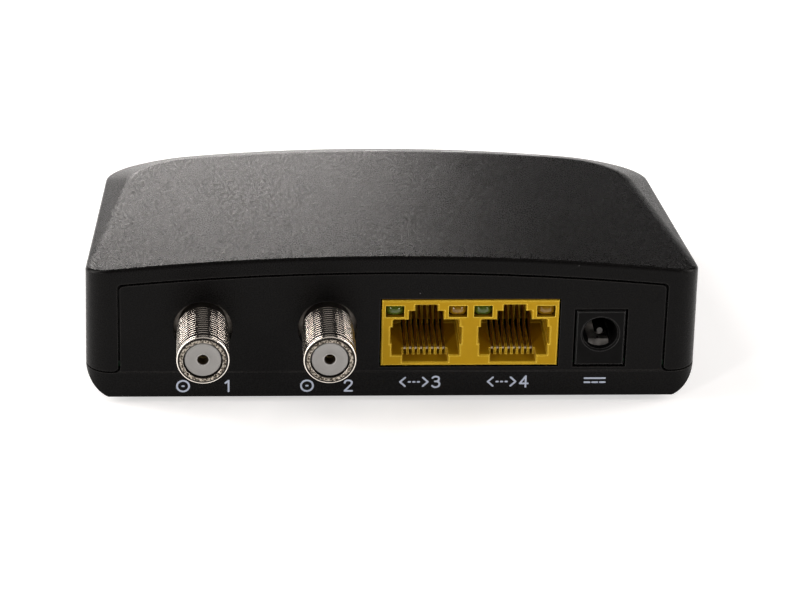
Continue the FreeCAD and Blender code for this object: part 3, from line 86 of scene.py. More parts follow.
class Shader:
    """A Principled material with a few helpers for wiring procedural detail."""

    def __init__(self, name, colour, roughness, metallic=0.0, specular=0.5):
        self.material = bpy.data.materials.new(name)
        self.material.use_nodes = True
        self.tree = self.material.node_tree
        self.surface = self.tree.nodes["Principled BSDF"]
        self.set("Base Color", (*colour, 1.0))
        self.set("Roughness", roughness)
        self.set("Metallic", metallic)
        self.set("Specular IOR Level", specular)
        self.set("IOR", 1.5)
        self.colour = colour
        self.coordinates = self.tree.nodes.new("ShaderNodeTexCoord").outputs["Object"]
        self.normal = None

    def set(self, socket, value):
        self.surface.inputs[socket].default_value = value

    def node(self, kind, **values):
        made = self.tree.nodes.new(kind)
        for key, value in values.items():
            setattr(made, key, value)
        return made

    def link(self, source, target):
        self.tree.links.new(source, target)

    def stretched(self, scale):
        """Object coordinates stretched by a factor along each axis."""
        made = self.node("ShaderNodeMapping")
        made.inputs["Scale"].default_value = scale
        self.link(self.coordinates, made.inputs["Vector"])
        return made.outputs["Vector"]

    def noise(self, per_metre, detail=3.0, roughness=0.55, stretch=(1, 1, 1)):
        made = self.node("ShaderNodeTexNoise")
        made.inputs["Scale"].default_value = per_metre
        made.inputs["Detail"].default_value = detail
        made.inputs["Roughness"].default_value = roughness
        source = self.coordinates if stretch == (1, 1, 1) else self.stretched(stretch)
        self.link(source, made.inputs["Vector"])
        return made.outputs["Fac"]

    def cells(self, per_metre, feature="F1"):
        made = self.node("ShaderNodeTexVoronoi", feature=feature)
        made.inputs["Scale"].default_value = per_metre
        self.link(self.coordinates, made.inputs["Vector"])
        return made

    def remap(self, source, low, high, to_low, to_high):
        made = self.node("ShaderNodeMapRange")
        made.clamp = True
        for socket, value in (("From Min", low), ("From Max", high),
                              ("To Min", to_low), ("To Max", to_high)):
            made.inputs[socket].default_value = value
        self.link(source, made.inputs["Value"])
        return made.outputs["Result"]

    def combine(self, first, second, operation="ADD"):
        """Two maps added, or joined by another operation."""
        made = self.node("ShaderNodeMath", operation=operation)
        self.link(first, made.inputs[0])
        self.link(second, made.inputs[1])
        return made.outputs[0]

    def upright(self):
        """A map of the height above the frame's floor."""
        place = self.node("ShaderNodeSeparateXYZ")
        self.link(self.coordinates, place.inputs["Vector"])
        return place.outputs["Z"]

    def edges(self, radius):
        """A map that is 0 on flat faces and rises towards sharp edges."""
        eased = self.node("ShaderNodeBevel", samples=6)
        eased.inputs["Radius"].default_value = radius
        surface = self.node("ShaderNodeNewGeometry")
        agreement = self.node("ShaderNodeVectorMath", operation="DOT_PRODUCT")
        self.link(eased.outputs["Normal"], agreement.inputs[0])
        self.link(surface.outputs["Normal"], agreement.inputs[1])
        return self.remap(agreement.outputs["Value"], *EDGE_AGREEMENT, 1.0, 0.0)

    def hollows(self, reach):
        """A map that is 0 in the open and rises in corners and deep places."""
        shade = self.node("ShaderNodeAmbientOcclusion", samples=8)
        shade.inputs["Distance"].default_value = reach
        return self.remap(shade.outputs["AO"], *HOLLOW_OPENNESS, 1.0, 0.0)

    def bump(self, height, depth, strength=1.0):
        """Raise the surface by a height map; several bumps add up."""
        made = self.node("ShaderNodeBump")
        made.inputs["Strength"].default_value = strength
        made.inputs["Distance"].default_value = depth
        self.link(height, made.inputs["Height"])
        if self.normal is not None:
            self.link(self.normal, made.inputs["Normal"])
        self.normal = made.outputs["Normal"]
        self.link(self.normal, self.surface.inputs["Normal"])
        return self

    def rough(self, source, low, high, inside=(0.3, 0.7)):
        """Vary the roughness between two values with a map."""
        self.link(self.remap(source, inside[0], inside[1], low, high),
                  self.surface.inputs["Roughness"])
        return self

    def tint(self, source, other, inside=(0.3, 0.7)):
        """Blend the base colour towards another with a map."""
        made = self.node("ShaderNodeMix", data_type="RGBA")
        made.inputs["A"].default_value = (*self.colour, 1.0)
        made.inputs["B"].default_value = (*other, 1.0)
        before = self.surface.inputs["Base Color"]
        if before.is_linked:
            self.link(before.links[0].from_socket, made.inputs["A"])
        self.link(self.remap(source, inside[0], inside[1], 0.0, 1.0), made.inputs["Factor"])
        self.link(made.outputs["Result"], before)
        return self


# The height of the lowest bend of the sprung wires.
WIRE_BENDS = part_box("rj45_1_contacts")[0].z
# The case's grain is drawn out from the connector side to the front.
GRAIN = (1, 0.42, 1)
# A map used over its whole span, from none to all.
WHOLE = (0.0, 1.0)
# How far corners and deep places are searched for, where a plastic is painted darker in them as
# shade.
HOLLOW_REACH = 5.0 * MM


# Dust on the case: cells per metre, where a speck fades out from its cell's middle, and which of
# the cells' random shades hold a speck.
DUST_CELLS, SPECK_EDGE, SPECK_SHADES = 420, (0.030, 0.045), (0.972, 0.976)


def case_plastic():
    """Black plastic with the fine grain of a spark-eroded mould and a few pale specks."""
    shader = Shader("case_plastic", (0.0022, 0.0020, 0.0020), 0.21, specular=0.07)
    shader.bump(shader.noise(6600, detail=0.0, stretch=GRAIN), 0.032 * MM)
    shader.rough(shader.noise(4600, detail=0.0, stretch=GRAIN), 0.20, 0.36)
    shader.tint(shader.noise(3600, detail=1.0), (0.0042, 0.0040, 0.0039))
    # Painted highlight: sharp edges are lightened.
    shader.tint(shader.edges(0.25 * MM), (0.030, 0.029, 0.028), WHOLE)
    dust = shader.cells(DUST_CELLS)
    speck = shader.remap(dust.outputs["Distance"], *SPECK_EDGE, 1.0, 0.0)
    chosen = shader.node("ShaderNodeSeparateColor")
    shader.link(dust.outputs["Color"], chosen.inputs["Color"])
    rare = shader.remap(chosen.outputs["Red"], *SPECK_SHADES, 0.0, 1.0)
    shader.tint(shader.combine(speck, rare, "MULTIPLY"), (0.12, 0.12, 0.12), WHOLE)
    return shader.material


def satin_plastic(name, colour, roughness, other, grain=3200, depth=0.02, specular=0.4,
                  edge_highlight=None, deep=None, highlight_width=0.22, shade_above=None):
    """A moulded plastic with a faint grain and slight changes of colour.

    Its sharp edges may carry a painted highlight of another colour, over a width in millimetres.
    Its deep places may be painted darker as shade, and a pair of heights says between which of
    them that sets in.
    """
    shader = Shader(name, colour, roughness, specular=specular)
    shader.bump(shader.noise(grain, detail=3.0), depth * MM, 0.5)
    shader.rough(shader.noise(700), roughness - 0.05, roughness + 0.08)
    shader.tint(shader.noise(260, detail=4.0), other, (0.25, 0.75))
    # Painted highlight: sharp edges turn towards a lighter colour.
    if edge_highlight:
        shader.tint(shader.edges(highlight_width * MM), edge_highlight, WHOLE)
    # Painted shade: deep places darken, only above the first height where heights are given.
    if deep:
        shade_mask = shader.hollows(HOLLOW_REACH)
        if shade_above:
            raised = shader.remap(shader.upright(), *shade_above, 0.0, 1.0)
            shade_mask = shader.combine(shade_mask, raised, "MULTIPLY")
        shader.tint(shade_mask, deep, WHOLE)
    return shader.material


def plated_metal(name, colour, roughness, other, scratches=(1, 1, 1), scale=1500, depth=0.004):
    """Plated metal with fine scratches and slightly uneven gloss."""
    shader = Shader(name, colour, roughness, metallic=1.0)
    wear = shader.noise(scale, detail=5.0, roughness=0.65, stretch=scratches)
    shader.bump(wear, depth * MM, 0.6)
    shader.rough(shader.noise(600, detail=4.0), roughness * 0.7, roughness * 1.5)
    shader.tint(shader.noise(400, detail=5.0), other, (0.4, 0.8))
    return shader.material


def worn_rim():
    """The machined, handled mouth of a barrel: plating worn to a mottled brown."""
    shader = Shader("worn_rim", (0.44, 0.395, 0.335), 0.26, metallic=1.0)
    shader.bump(shader.noise(1500, detail=4.0, roughness=0.7), 0.14 * MM)
    mottle = shader.noise(2300, detail=4.0, roughness=0.75)
    shader.tint(mottle, (0.022, 0.017, 0.011), (0.42, 0.55))
    shader.rough(shader.noise(1900, detail=3.0), 0.2, 0.5)
    return shader.material


def block_shade_metal():
    """A barrel's cast block and the neck near it, painted dark as shade behind the panel."""
    shader = Shader("block_shade_metal", (0.16, 0.145, 0.13), 0.42, metallic=1.0)
    shader.bump(shader.noise(2200, detail=4.0), 0.02 * MM, 0.8)
    shader.tint(shader.noise(900, detail=4.0), (0.09, 0.08, 0.07))
    shader.rough(shader.noise(700, detail=3.0), 0.35, 0.55)
    return shader.material


def lens_material(name, colour, glow):
    """A tinted, slightly milky lens."""
    shader = Shader(name, colour, 0.06, specular=0.5)
    shader.set("Subsurface Weight", 0.15)
    shader.set("Subsurface Scale", 0.6 * MM)
    shader.set("Subsurface Radius", (1.0, 1.0, 1.0))
    shader.tint(shader.noise(900, detail=3.0), glow, (0.35, 0.75))
    shader.bump(shader.noise(1200, detail=2.0), 0.004 * MM, 0.4)
    shader.rough(shader.noise(1500), 0.04, 0.09)
    return shader.material


def contact_gold():
    """Gold-plated spring wire: a painted glint at its lowest bend, painted shade towards its roots.
    """
    shader = Shader("contact_gold", (0.27, 0.145, 0.026), 0.12, metallic=1.0)
    bend = shader.remap(shader.upright(), WIRE_BENDS + 1.2 * MM, WIRE_BENDS + 0.3 * MM, 0.0, 1.0)
    shader.bump(shader.noise(1500, detail=5.0), 0.004 * MM, 0.6)
    shader.rough(bend, 0.46, 0.12, WHOLE)
    # Painted highlight: the lowest bend turns pale; the darker wire above it is painted shade.
    shader.tint(bend, (0.95, 0.90, 0.80), WHOLE)
    return shader.material


def board_material():
    """Green solder mask over copper tracks."""
    shader = Shader("board", (0.010, 0.075, 0.030), 0.35, specular=0.5)
    tracks = shader.cells(330, feature="DISTANCE_TO_EDGE")
    line = shader.remap(tracks.outputs["Distance"], 0.02, 0.05, 1.0, 0.0)
    shader.tint(line, (0.022, 0.130, 0.050), WHOLE)
    shader.bump(line, 0.03 * MM, 0.5)
    shader.rough(shader.noise(500), 0.28, 0.45)
    return shader.material


def ceramic_material():
    """Tan ceramic with a faint mottle."""
    shader = Shader("ceramic", (0.28, 0.17, 0.09), 0.4)
    shader.tint(shader.noise(1400), (0.36, 0.24, 0.14))
    shader.bump(shader.noise(3000), 0.01 * MM, 0.5)
    shader.rough(shader.noise(900), 0.3, 0.5)
    return shader.material


MATERIALS = {
    "case_plastic": case_plastic(),
    "foot_rubber": satin_plastic("foot_rubber", (0.012, 0.012, 0.012), 0.72, (0.02, 0.02, 0.02),
                                 grain=1800, depth=0.05, specular=0.25),
    "screw_steel": plated_metal("screw_steel", (0.30, 0.30, 0.31), 0.32, (0.20, 0.20, 0.21)),
    "nickel": plated_metal("nickel", (0.93, 0.87, 0.79), 0.13, (0.74, 0.68, 0.60),
                           scratches=(1, 0.25, 1), scale=2400),
    "worn_rim": worn_rim(),
    "block_shade_metal": block_shade_metal(),
    "socket_shadow": satin_plastic("socket_shadow", (0.020, 0.014, 0.009), 0.5,
                                   (0.045, 0.030, 0.018), specular=0.2),
    # Painted highlight: its sharp edges, the rim among them, turn pale.
    "insulator": satin_plastic("insulator", (0.28, 0.275, 0.267), 0.42, (0.33, 0.325, 0.315),
                               depth=0.01, specular=0.3, edge_highlight=(0.60, 0.59, 0.57)),
    "contact_brass": plated_metal("contact_brass", (0.50, 0.38, 0.17), 0.3, (0.32, 0.24, 0.11)),
    "contact_gold": contact_gold(),
    # Painted highlights on sharp edges, and painted shade in deep places above the wires' bends.
    "jack_yellow": satin_plastic("jack_yellow", (0.42, 0.240, 0.005), 0.38, (0.47, 0.275, 0.006),
                                 grain=2600, depth=0.05, specular=0.10,
                                 edge_highlight=(1.0, 0.74, 0.10), deep=(0.15, 0.064, 0.0013),
                                 highlight_width=0.30, shade_above=(WIRE_BENDS + 0.4 * MM,
                                                       WIRE_BENDS + 2.8 * MM)),
    "tin": plated_metal("tin", (0.62, 0.61, 0.59), 0.34, (0.5, 0.5, 0.48)),
    "green_lens": lens_material("green_lens", (0.048, 0.082, 0.007), (0.075, 0.115, 0.012)),
    "amber_lens": lens_material("amber_lens", (0.20, 0.105, 0.004), (0.28, 0.155, 0.007)),
    # Painted highlights on sharp edges, and painted shade in its deep places.
    "jack_black": satin_plastic("jack_black", (0.0035, 0.0035, 0.0035), 0.52,
                                (0.006, 0.006, 0.006), depth=0.03, specular=0.04,
                                edge_highlight=(0.095, 0.095, 0.095), deep=(0.0006, 0.0006, 0.0006)),
    "blade_tin": plated_metal("blade_tin", (0.74, 0.71, 0.68), 0.34, (0.30, 0.29, 0.27)),
    # Painted shade for a barrel's thread roots, groove, bevel and mouth.
    "painted_root_shade": satin_plastic("painted_root_shade", (0.008, 0.007, 0.006), 0.5,
                                 (0.020, 0.017, 0.014), specular=0.1),
    # The pin's nickel is written very dark, as painted shade inside the power jack's bore.
    "pin_nickel": plated_metal("pin_nickel", (0.055, 0.054, 0.052), 0.07, (0.035, 0.034, 0.033),
                               scratches=(1, 0.2, 1)),
    "board": board_material(),
    "light_guide": satin_plastic("light_guide", (0.012, 0.012, 0.013), 0.12,
                                 (0.016, 0.016, 0.017), depth=0.004),
    "lamp_white": satin_plastic("lamp_white", (0.70, 0.70, 0.62), 0.25, (0.6, 0.6, 0.5)),
    "chip_black": satin_plastic("chip_black", (0.014, 0.014, 0.014), 0.5, (0.024, 0.024, 0.023)),
    "pad_grey": satin_plastic("pad_grey", (0.22, 0.24, 0.27), 0.7, (0.18, 0.2, 0.22)),
    "sink_aluminium": plated_metal("sink_aluminium", (0.60, 0.61, 0.62), 0.36,
                                   (0.48, 0.49, 0.5), scratches=(4, 0.3, 1)),
    "ferrite": satin_plastic("ferrite", (0.05, 0.05, 0.052), 0.65, (0.08, 0.08, 0.08), depth=0.06),
    "ceramic": ceramic_material(),
    "print_ink": satin_plastic("print_ink", (0.46, 0.51, 0.62), 0.45, (0.40, 0.45, 0.55),
                               depth=0.004, specular=0.3),
}


def paint(thing, slot):
    """Give an object one material and no other."""
    thing.data.materials.clear()
    thing.data.materials.append(MATERIALS[slot])
    return thing


RECORD_SLOTS = set()
for entry in frame["record"]["subparts"]:
    RECORD_SLOTS.add(entry["material_slot"])
    paint(NODES[entry["node"]], entry["material_slot"])
paint(NODES["dc_jack_blade"], "blade_tin")


# ---------------------------------------------------------------------------------------------
# Pieces
# ---------------------------------------------------------------------------------------------


# Corners of a mesh closer than this are one corner.
WELD = 0.5e-6


def mesh_piece(name, vertices, faces, slot, sharp=35.0):
    """A new piece of the main body from its vertices and faces, shaded smooth.

    Edges that turn by more than the sharp angle, in degrees, stay sharp.
    """
    mesh = bpy.data.meshes.new(name)
    mesh.from_pydata([tuple(v) for v in vertices], [], [tuple(f) for f in faces])
    form = bmesh.new()
    form.from_mesh(mesh)
    bmesh.ops.remove_doubles(form, verts=form.verts, dist=WELD)
    bmesh.ops.recalc_face_normals(form, faces=form.faces)
    form.to_mesh(mesh)
    form.free()
    mesh.validate()
    mesh.shade_smooth()
    mesh.set_sharp_from_angle(angle=math.radians(sharp))
    thing = bpy.data.objects.new(name, mesh)
    bpy.context.scene.collection.objects.link(thing)
    paint(thing, slot)
    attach(thing, MAIN)
    return thing


def around(axis, rows, steps, thread=None, closed=False):
    """Vertices and faces of a surface turned about an axis along y.

    A row is (depth, radius, rise): its depth behind the axis point, its radius, and how much
    deeper it gets over one full turn. Each row has its own last column, which meets the first.
    Rows that rise belong to a thread, (start, end, start radius, end radius), and fade into its
    start and its end over one turn.
    """
    vertices = []
    for depth, radius, rise in rows:
        for step in range(steps + 1):
            turn = step / steps
            angle = turn * math.tau
            along = depth + rise * turn
            reach = radius
            if rise:
                start, end, start_radius, end_radius = thread
                entry_blend = min(max((along - start) / rise, 0.0), 1.0)
                exit_blend = min(max((end - along) / rise, 0.0), 1.0)
                reach = start_radius + (radius - start_radius) * entry_blend
                reach = end_radius + (reach - end_radius) * exit_blend
                along = min(max(along, start), end)
            vertices.append((axis.x + reach * math.sin(angle), axis.y + along,
                             axis.z + reach * math.cos(angle)))
    width = steps + 1
    faces = []
    count = len(rows)
    for row in range(count if closed else count - 1):
        following = (row + 1) % count
        for step in range(steps):
            faces.append((row * width + step, row * width + step + 1,
                          following * width + step + 1, following * width + step))
    return vertices, faces


def plain_rows(section):
    """Rows of a turned surface from (depth, radius) pairs in millimetres."""
    return [(depth * MM, radius * MM, 0.0) for depth, radius in section]


def radius_from(axis, face):
    """A face's distance from an axis along y, in millimetres."""
    return math.hypot(face.center.x - axis.x, face.center.z - axis.z) / MM


def add_box(vertices, faces, low, high, ease):
    """Add a box with eased edges to a mesh in the making."""
    form = bmesh.new()
    bmesh.ops.create_cube(form, size=1.0)
    size = high - low
    centre = (low + high) / 2
    for vertex in form.verts:
        vertex.co = Vector((centre[axis] + vertex.co[axis] * size[axis] for axis in range(3)))
    bmesh.ops.bevel(form, geom=form.edges[:], offset=ease, segments=3, affect="EDGES", profile=0.5)
    form.verts.index_update()
    base = len(vertices)
    vertices += [vertex.co.copy() for vertex in form.verts]
    faces += [tuple(base + vertex.index for vertex in face.verts) for face in form.faces]
    form.free()


# A coaxial socket, in millimetres. Its thread is three eighths of an inch, 32 turns to the inch.
THREAD_RADIUS, THREAD_ROOT, PITCH = 4.735, 4.385, 0.794
# The radii of the bore and of its wider mouth. Then the depths at which the mouth ends, the thread
# begins, and the two parts of the bore's wall meet.
BORE, MOUTH = 3.4, 3.56
MOUTH_DEPTH, COLLAR, BORE_SEAM = 0.9, 1.1, 2.2
# The groove round the collar, just before the thread, and the radius of its floor.
GROOVE_START, GROOVE_END, GROOVE_RADIUS = 0.60, 0.80, 4.64
# The block behind the barrel, and the height of the barrel's axis above the block's underside.
BLOCK_WIDTH, BLOCK_DEPTH, AXIS_HEIGHT = 13.2, 10.5, 7.72
# The block's legs: how far in from its sides, half their width, and how far up into the block.
LEG_INSET, LEG_HALF, LEG_ROOT = 1.2, 0.48, 1.0
# How far before the block the thread ends, and how far its core goes on from there.
THREAD_GAP, CORE_REACH = 2.0, 2.6
# The collar's outside, from the flat face of the mouth to its full radius.
COLLAR_ROUND = [(0.02, 3.59), (0.0, 3.64), (0.0, 4.12), (0.02, 4.17), (0.15, 4.40), (0.19, 4.53),
                (0.20, 4.60), (0.23, 4.65), (0.29, 4.70), (0.40, THREAD_RADIUS)]
# Where a barrel's faces change material: the depth of its flat face and of the bevel round that,
# which takes painted shade, and how far before the block the barrel is painted dark as shade.
FLAT_DEPTH, BEVEL_DEPTH, SHADE_REACH = 0.015, 0.19, 1.5
# How far below the crest a face is a thread's root, and how far it is the groove's floor. How far
# outside the mouth's radius a face belongs to the front, and how far it still belongs to the mouth.
ROOT_DROP, GROOVE_DROP, FRONT_MARGIN, MOUTH_MARGIN = 0.04, 0.035, 0.02, 0.01
# The columns that a barrel and an insulator are drawn in.
BARREL_STEPS, INSULATOR_STEPS = 128, 96
# One turn of the thread: how far along the pitch, and how deep below the crest.
THREAD_FORM = [(0.02, 0.03), (0.06, 0.005), (0.10, 0.0), (0.22, 0.0), (0.27, 0.02), (0.31, 0.07),
               (0.40, 0.22), (0.46, 0.31), (0.51, 0.345), (0.57, 0.345), (0.63, 0.31),
               (0.70, 0.20), (0.77, 0.07)]


def make_coax_shell(number):
    """A threaded barrel with an eased mouth, on its block with four soldered legs."""
    node = f"coax_{number}_shell"
    low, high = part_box(node)
    axis = Vector(((low.x + high.x) / 2, low.y, high.z - BLOCK_WIDTH / 2 * MM))
    block_front = high.y - BLOCK_DEPTH * MM - low.y
    thread_end = block_front / MM - THREAD_GAP
    core_end = thread_end + CORE_REACH
    rows = plain_rows([(BORE_SEAM, BORE), (MOUTH_DEPTH, BORE), (MOUTH_DEPTH, MOUTH),
                       (0.06, MOUTH), *COLLAR_ROUND, (GROOVE_START, THREAD_RADIUS),
                       (0.66, GROOVE_RADIUS), (0.74, GROOVE_RADIUS),
                       (GROOVE_END, THREAD_RADIUS), (COLLAR, THREAD_RADIUS)])
    # The thread sets in one turn before the collar's end, so that no column starts bare.
    for turn in range(-1, int((thread_end - COLLAR) / PITCH) + 1):
        for along, drop in THREAD_FORM:
            rows.append(((COLLAR + turn * PITCH + along) * MM, (THREAD_RADIUS - drop) * MM,
                         PITCH * MM))
    rows += plain_rows([(thread_end, THREAD_ROOT), (core_end, THREAD_ROOT), (core_end, BORE)])
    thread = (COLLAR * MM, thread_end * MM, THREAD_RADIUS * MM, THREAD_ROOT * MM)
    vertices, faces = around(axis, rows, BARREL_STEPS, thread)
    inner, inner_faces = around(axis, plain_rows([(BORE_SEAM, BORE), (core_end, BORE)]),
                                BARREL_STEPS)
    faces += [tuple(len(vertices) + corner for corner in face) for face in inner_faces]
    vertices += inner
    underside = high.z - (BLOCK_WIDTH / 2 + AXIS_HEIGHT) * MM
    add_box(vertices, faces, Vector((low.x, low.y + block_front, underside)),
            Vector(high), 0.3 * MM)
    half = Vector((LEG_HALF, LEG_HALF, 0.0)) * MM
    for across in (low.x + LEG_INSET * MM, high.x - LEG_INSET * MM):
        for along in (low.y + block_front + LEG_INSET * MM, high.y - LEG_INSET * MM):
            foot = Vector((across, along, low.z))
            top = Vector((across, along, underside + LEG_ROOT * MM))
            add_box(vertices, faces, foot - half, top + half, 0.15 * MM)
    shell = mesh_piece(f"coax_{number}_barrel", vertices, faces, "nickel", sharp=60.0)
    for extra in ("worn_rim", "block_shade_metal", "painted_root_shade"):
        shell.data.materials.append(MATERIALS[extra])
    plated, rim, block_shade, root = range(4)
    # The bevel round the flat face, the groove, the mouth and the thread's roots take painted
    # shade; the block and the barrel just before it take dark metal, painted as shade behind the
    # panel.
    for face in shell.data.polygons:
        depth = (face.center.y - low.y) / MM
        radius = radius_from(axis, face)
        outside = radius > MOUTH + FRONT_MARGIN
        grooved = GROOVE_START < depth < COLLAR and radius < THREAD_RADIUS - GROOVE_DROP
        threaded = depth > COLLAR and radius < THREAD_RADIUS - ROOT_DROP
        if depth < FLAT_DEPTH and outside:
            face.material_index = rim
        elif depth < BEVEL_DEPTH and outside or grooved:
            face.material_index = root
        elif depth > block_front / MM - SHADE_REACH:
            face.material_index = block_shade
        elif radius < MOUTH + MOUTH_MARGIN or threaded:
            face.material_index = root
        else:
            face.material_index = plated
    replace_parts(shell, node)
    return axis


# An insulator's section, in millimetres: the countersunk hole and the dished face, as depth behind
# the front, from the hole outwards. Then the hole's wide rear part and the outside.
INSULATOR_FACE = [(0.24, 0.97), (0.14, 0.99), (0.06, 1.05), (0.02, 1.14), (0.15, 1.38),
                  (0.32, 2.00), (0.24, 2.60), (0.0, 3.08), (0.02, 3.18), (0.07, 3.25),
                  (0.15, 3.29), (0.30, 3.31)]
HOLE_RADIUS, HOLE_REAR_RADIUS, HOLE_NECK, INSULATOR_RADIUS = 0.97, 1.20, 2.5, 3.31


def make_insulator(number, axis):
    """The insulator: a faced disc with an eased rim and a countersunk hole for the centre wire."""
    node = f"coax_{number}_insulator"
    low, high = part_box(node)
    front = (low.y - axis.y) / MM
    back = (high.y - axis.y) / MM
    section = [(back, HOLE_REAR_RADIUS), (front + HOLE_NECK, HOLE_REAR_RADIUS),
               (front + HOLE_NECK, HOLE_RADIUS)]
    section += [(front + depth, radius) for depth, radius in INSULATOR_FACE]
    section.append((back, INSULATOR_RADIUS))
    vertices, faces = around(axis, plain_rows(section), INSULATOR_STEPS, closed=True)
    disc = mesh_piece(f"coax_{number}_disc", vertices, faces, "insulator", sharp=50.0)
    disc.data.materials.append(MATERIALS["socket_shadow"])
    for face in disc.data.polygons:
        if radius_from(axis, face) < HOLE_RADIUS + 0.01:
            face.material_index = 1
    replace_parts(disc, node)


for number in (1, 2):
    make_insulator(number, make_coax_shell(number))


# An indicator lens, in millimetres: its width, the rounding of its corners, how far its crown
# stands before the CAD lens, how flat its dome is across and upright, and its rings.
LENS_WIDTH, UPPER_ROUNDING, LOWER_ROUNDING, CROWN = 3.16, 0.22, 0.85, 0.14
DOME_ACROSS, DOME_UPRIGHT = 3.60, 1.90
LENS_SHARES = (1.0, 0.97, 0.92, 0.85, 0.76, 0.66, 0.55, 0.43, 0.30, 0.15)
# A quarter turn is drawn in this many steps.
QUARTER_STEPS = 6


def lens_outline(half_width, low, high):
    """The outline of an indicator lens: square above, with well rounded corners below."""
    points = []
    for corner_x, corner_z, radius, start in (
            (half_width, high, UPPER_ROUNDING, 0.0), (-half_width, high, UPPER_ROUNDING, 90.0),
            (-half_width, low, LOWER_ROUNDING, 180.0), (half_width, low, LOWER_ROUNDING, 270.0)):
        inward_x = corner_x - math.copysign(radius, corner_x)
        inward_z = corner_z + (radius if corner_z == low else -radius)
        for step in range(QUARTER_STEPS + 1):
            angle = math.radians(start + 90.0 / QUARTER_STEPS * step)
            points.append((inward_x + radius * math.cos(angle),
                           inward_z + radius * math.sin(angle)))
    return points


def make_lenses(colour):
    """Two domed indicator lenses, one for each port."""
    node = f"rj45_{colour}_lamps"
    low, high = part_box(node)
    half_width = LENS_WIDTH / 2
    outline = lens_outline(half_width, low.z / MM, high.z / MM)
    middle_z = (low.z + high.z) / 2 / MM
    crown = low.y / MM - CROWN
    vertices, faces = [], []
    for centre in (low.x + half_width * MM, high.x - half_width * MM):
        base = len(vertices)
        vertices += [Vector((centre / MM + x, high.y / MM, z)) * MM for x, z in outline]
        for share in LENS_SHARES:
            for x, z in outline:
                across, upright = x * share, (z - middle_z) * share
                depth = across ** 2 / DOME_ACROSS + upright ** 2 / DOME_UPRIGHT
                vertices.append(Vector((centre / MM + across, crown + depth,
                                        middle_z + upright)) * MM)
        count = len(outline)
        for row in range(len(LENS_SHARES)):
            for step in range(count):
                after = (step + 1) % count
                faces.append((base + row * count + step, base + row * count + after,
                              base + (row + 1) * count + after, base + (row + 1) * count + step))
        faces.append(tuple(base + step for step in range(count)))
        tip = len(vertices)
        vertices.append(Vector((centre / MM, crown, middle_z)) * MM)
        last = base + len(LENS_SHARES) * count
        faces += [(last + step, last + (step + 1) % count, tip) for step in range(count)]
    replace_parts(mesh_piece(f"{colour}_lenses", vertices, faces, f"{colour}_lens", sharp=50.0),
                node)


for colour in ("green", "amber"):
    make_lenses(colour)


# Printed marks: a number beside each coaxial and modular socket, and plain signs. Their lines are
# in shares of a mark's height. The ink's thickness and a stroke's width are in millimetres.
INK, STROKE = 0.012, 0.34
# Rays that look for the panel start this far before the case.
RAY_START = -60.0
DIGITS = {
    "1": [[(0.10, 0.78), (0.36, 1.0), (0.36, 0.0)]],
    "2": [[(0.0, 0.76), (0.04, 0.90), (0.16, 0.985), (0.32, 1.0), (0.48, 0.96), (0.58, 0.85),
           (0.59, 0.72), (0.52, 0.58), (0.30, 0.34), (0.0, 0.0), (0.62, 0.0)]],
    "3": [[(0.02, 0.86), (0.14, 0.97), (0.32, 1.0), (0.50, 0.94), (0.57, 0.79), (0.52, 0.63),
           (0.36, 0.545), (0.22, 0.54)],
          [(0.36, 0.545), (0.55, 0.47), (0.62, 0.30), (0.56, 0.10), (0.38, 0.0), (0.18, 0.0),
           (0.0, 0.13)]],
    "4": [[(0.48, 0.0), (0.48, 1.0), (0.0, 0.32), (0.66, 0.32)]],
}
MARKS = {
    "socket": [[(0.5 + 0.5 * math.cos(step * math.tau / 24),
                 0.5 + 0.5 * math.sin(step * math.tau / 24)) for step in range(25)],
               [(0.44, 0.5), (0.56, 0.5)]],
    "network": [[(0.42, 0.90), (0.0, 0.5), (0.42, 0.10)], [(0.72, 0.5), (0.84, 0.5)],
                [(1.10, 0.5), (1.22, 0.5)], [(1.48, 0.5), (1.60, 0.5)],
                [(1.90, 0.90), (2.32, 0.5), (1.90, 0.10)]],
    "direct_current": [[(0.0, 0.72), (1.7, 0.72)], [(0.0, 0.34), (0.42, 0.34)],
                       [(0.64, 0.34), (1.06, 0.34)], [(1.28, 0.34), (1.70, 0.34)]],
}


def case_surface():
    """The case parts as one tree to cast rays at."""
    form = bmesh.new()
    for node in ("top_cover", "bottom_tray"):
        form.from_mesh(NODES[node].data)
    tree = BVHTree.FromBMesh(form)
    form.free()
    return tree


def make_print(name, marks):
    """Printed strokes on the rear panel, each a thin ribbon with round ends.

    A mark is (lines, left, bottom, height) with places in millimetres in the part's frame.
    """
    vertices, faces = [], []
    order = 0
    for lines, left, bottom, height in marks:
        for line in lines:
            points = [Vector((left + x * height, bottom + z * height)) for x, z in line]
            for start, end in zip(points, points[1:]):
                turn = math.atan2(end.y - start.y, end.x - start.x)
                ring = []
                for centre, first in ((end, -90), (start, 90)):
                    for step in range(7):
                        angle = turn + math.radians(first + 30 * step)
                        ring.append(centre + Vector((math.cos(angle), math.sin(angle)))
                                    * STROKE / 2)
                base = len(vertices)
                order += 1
                # Strokes that cross stand at slightly different heights, so none share a face.
                for lift in (INK, -INK * (0.5 + order % 5 / 5)):
                    for point in ring:
                        hit = CASE.ray_cast(Vector((point.x, RAY_START, point.y)) * MM,
                                            Vector((0, 1, 0)))[0]
                        vertices.append(Vector((point.x * MM, hit.y + lift * MM, point.y * MM)))
                count = len(ring)
                faces.append(tuple(base + step for step in range(count)))
                faces.append(tuple(base + count + step for step in range(count)))
                for step in range(count):
                    after = (step + 1) % count
                    faces.append((base + step, base + after, base + count + after,
                                  base + count + step))
    return mesh_piece(name, vertices, faces, "print_ink")


CASE = case_surface()
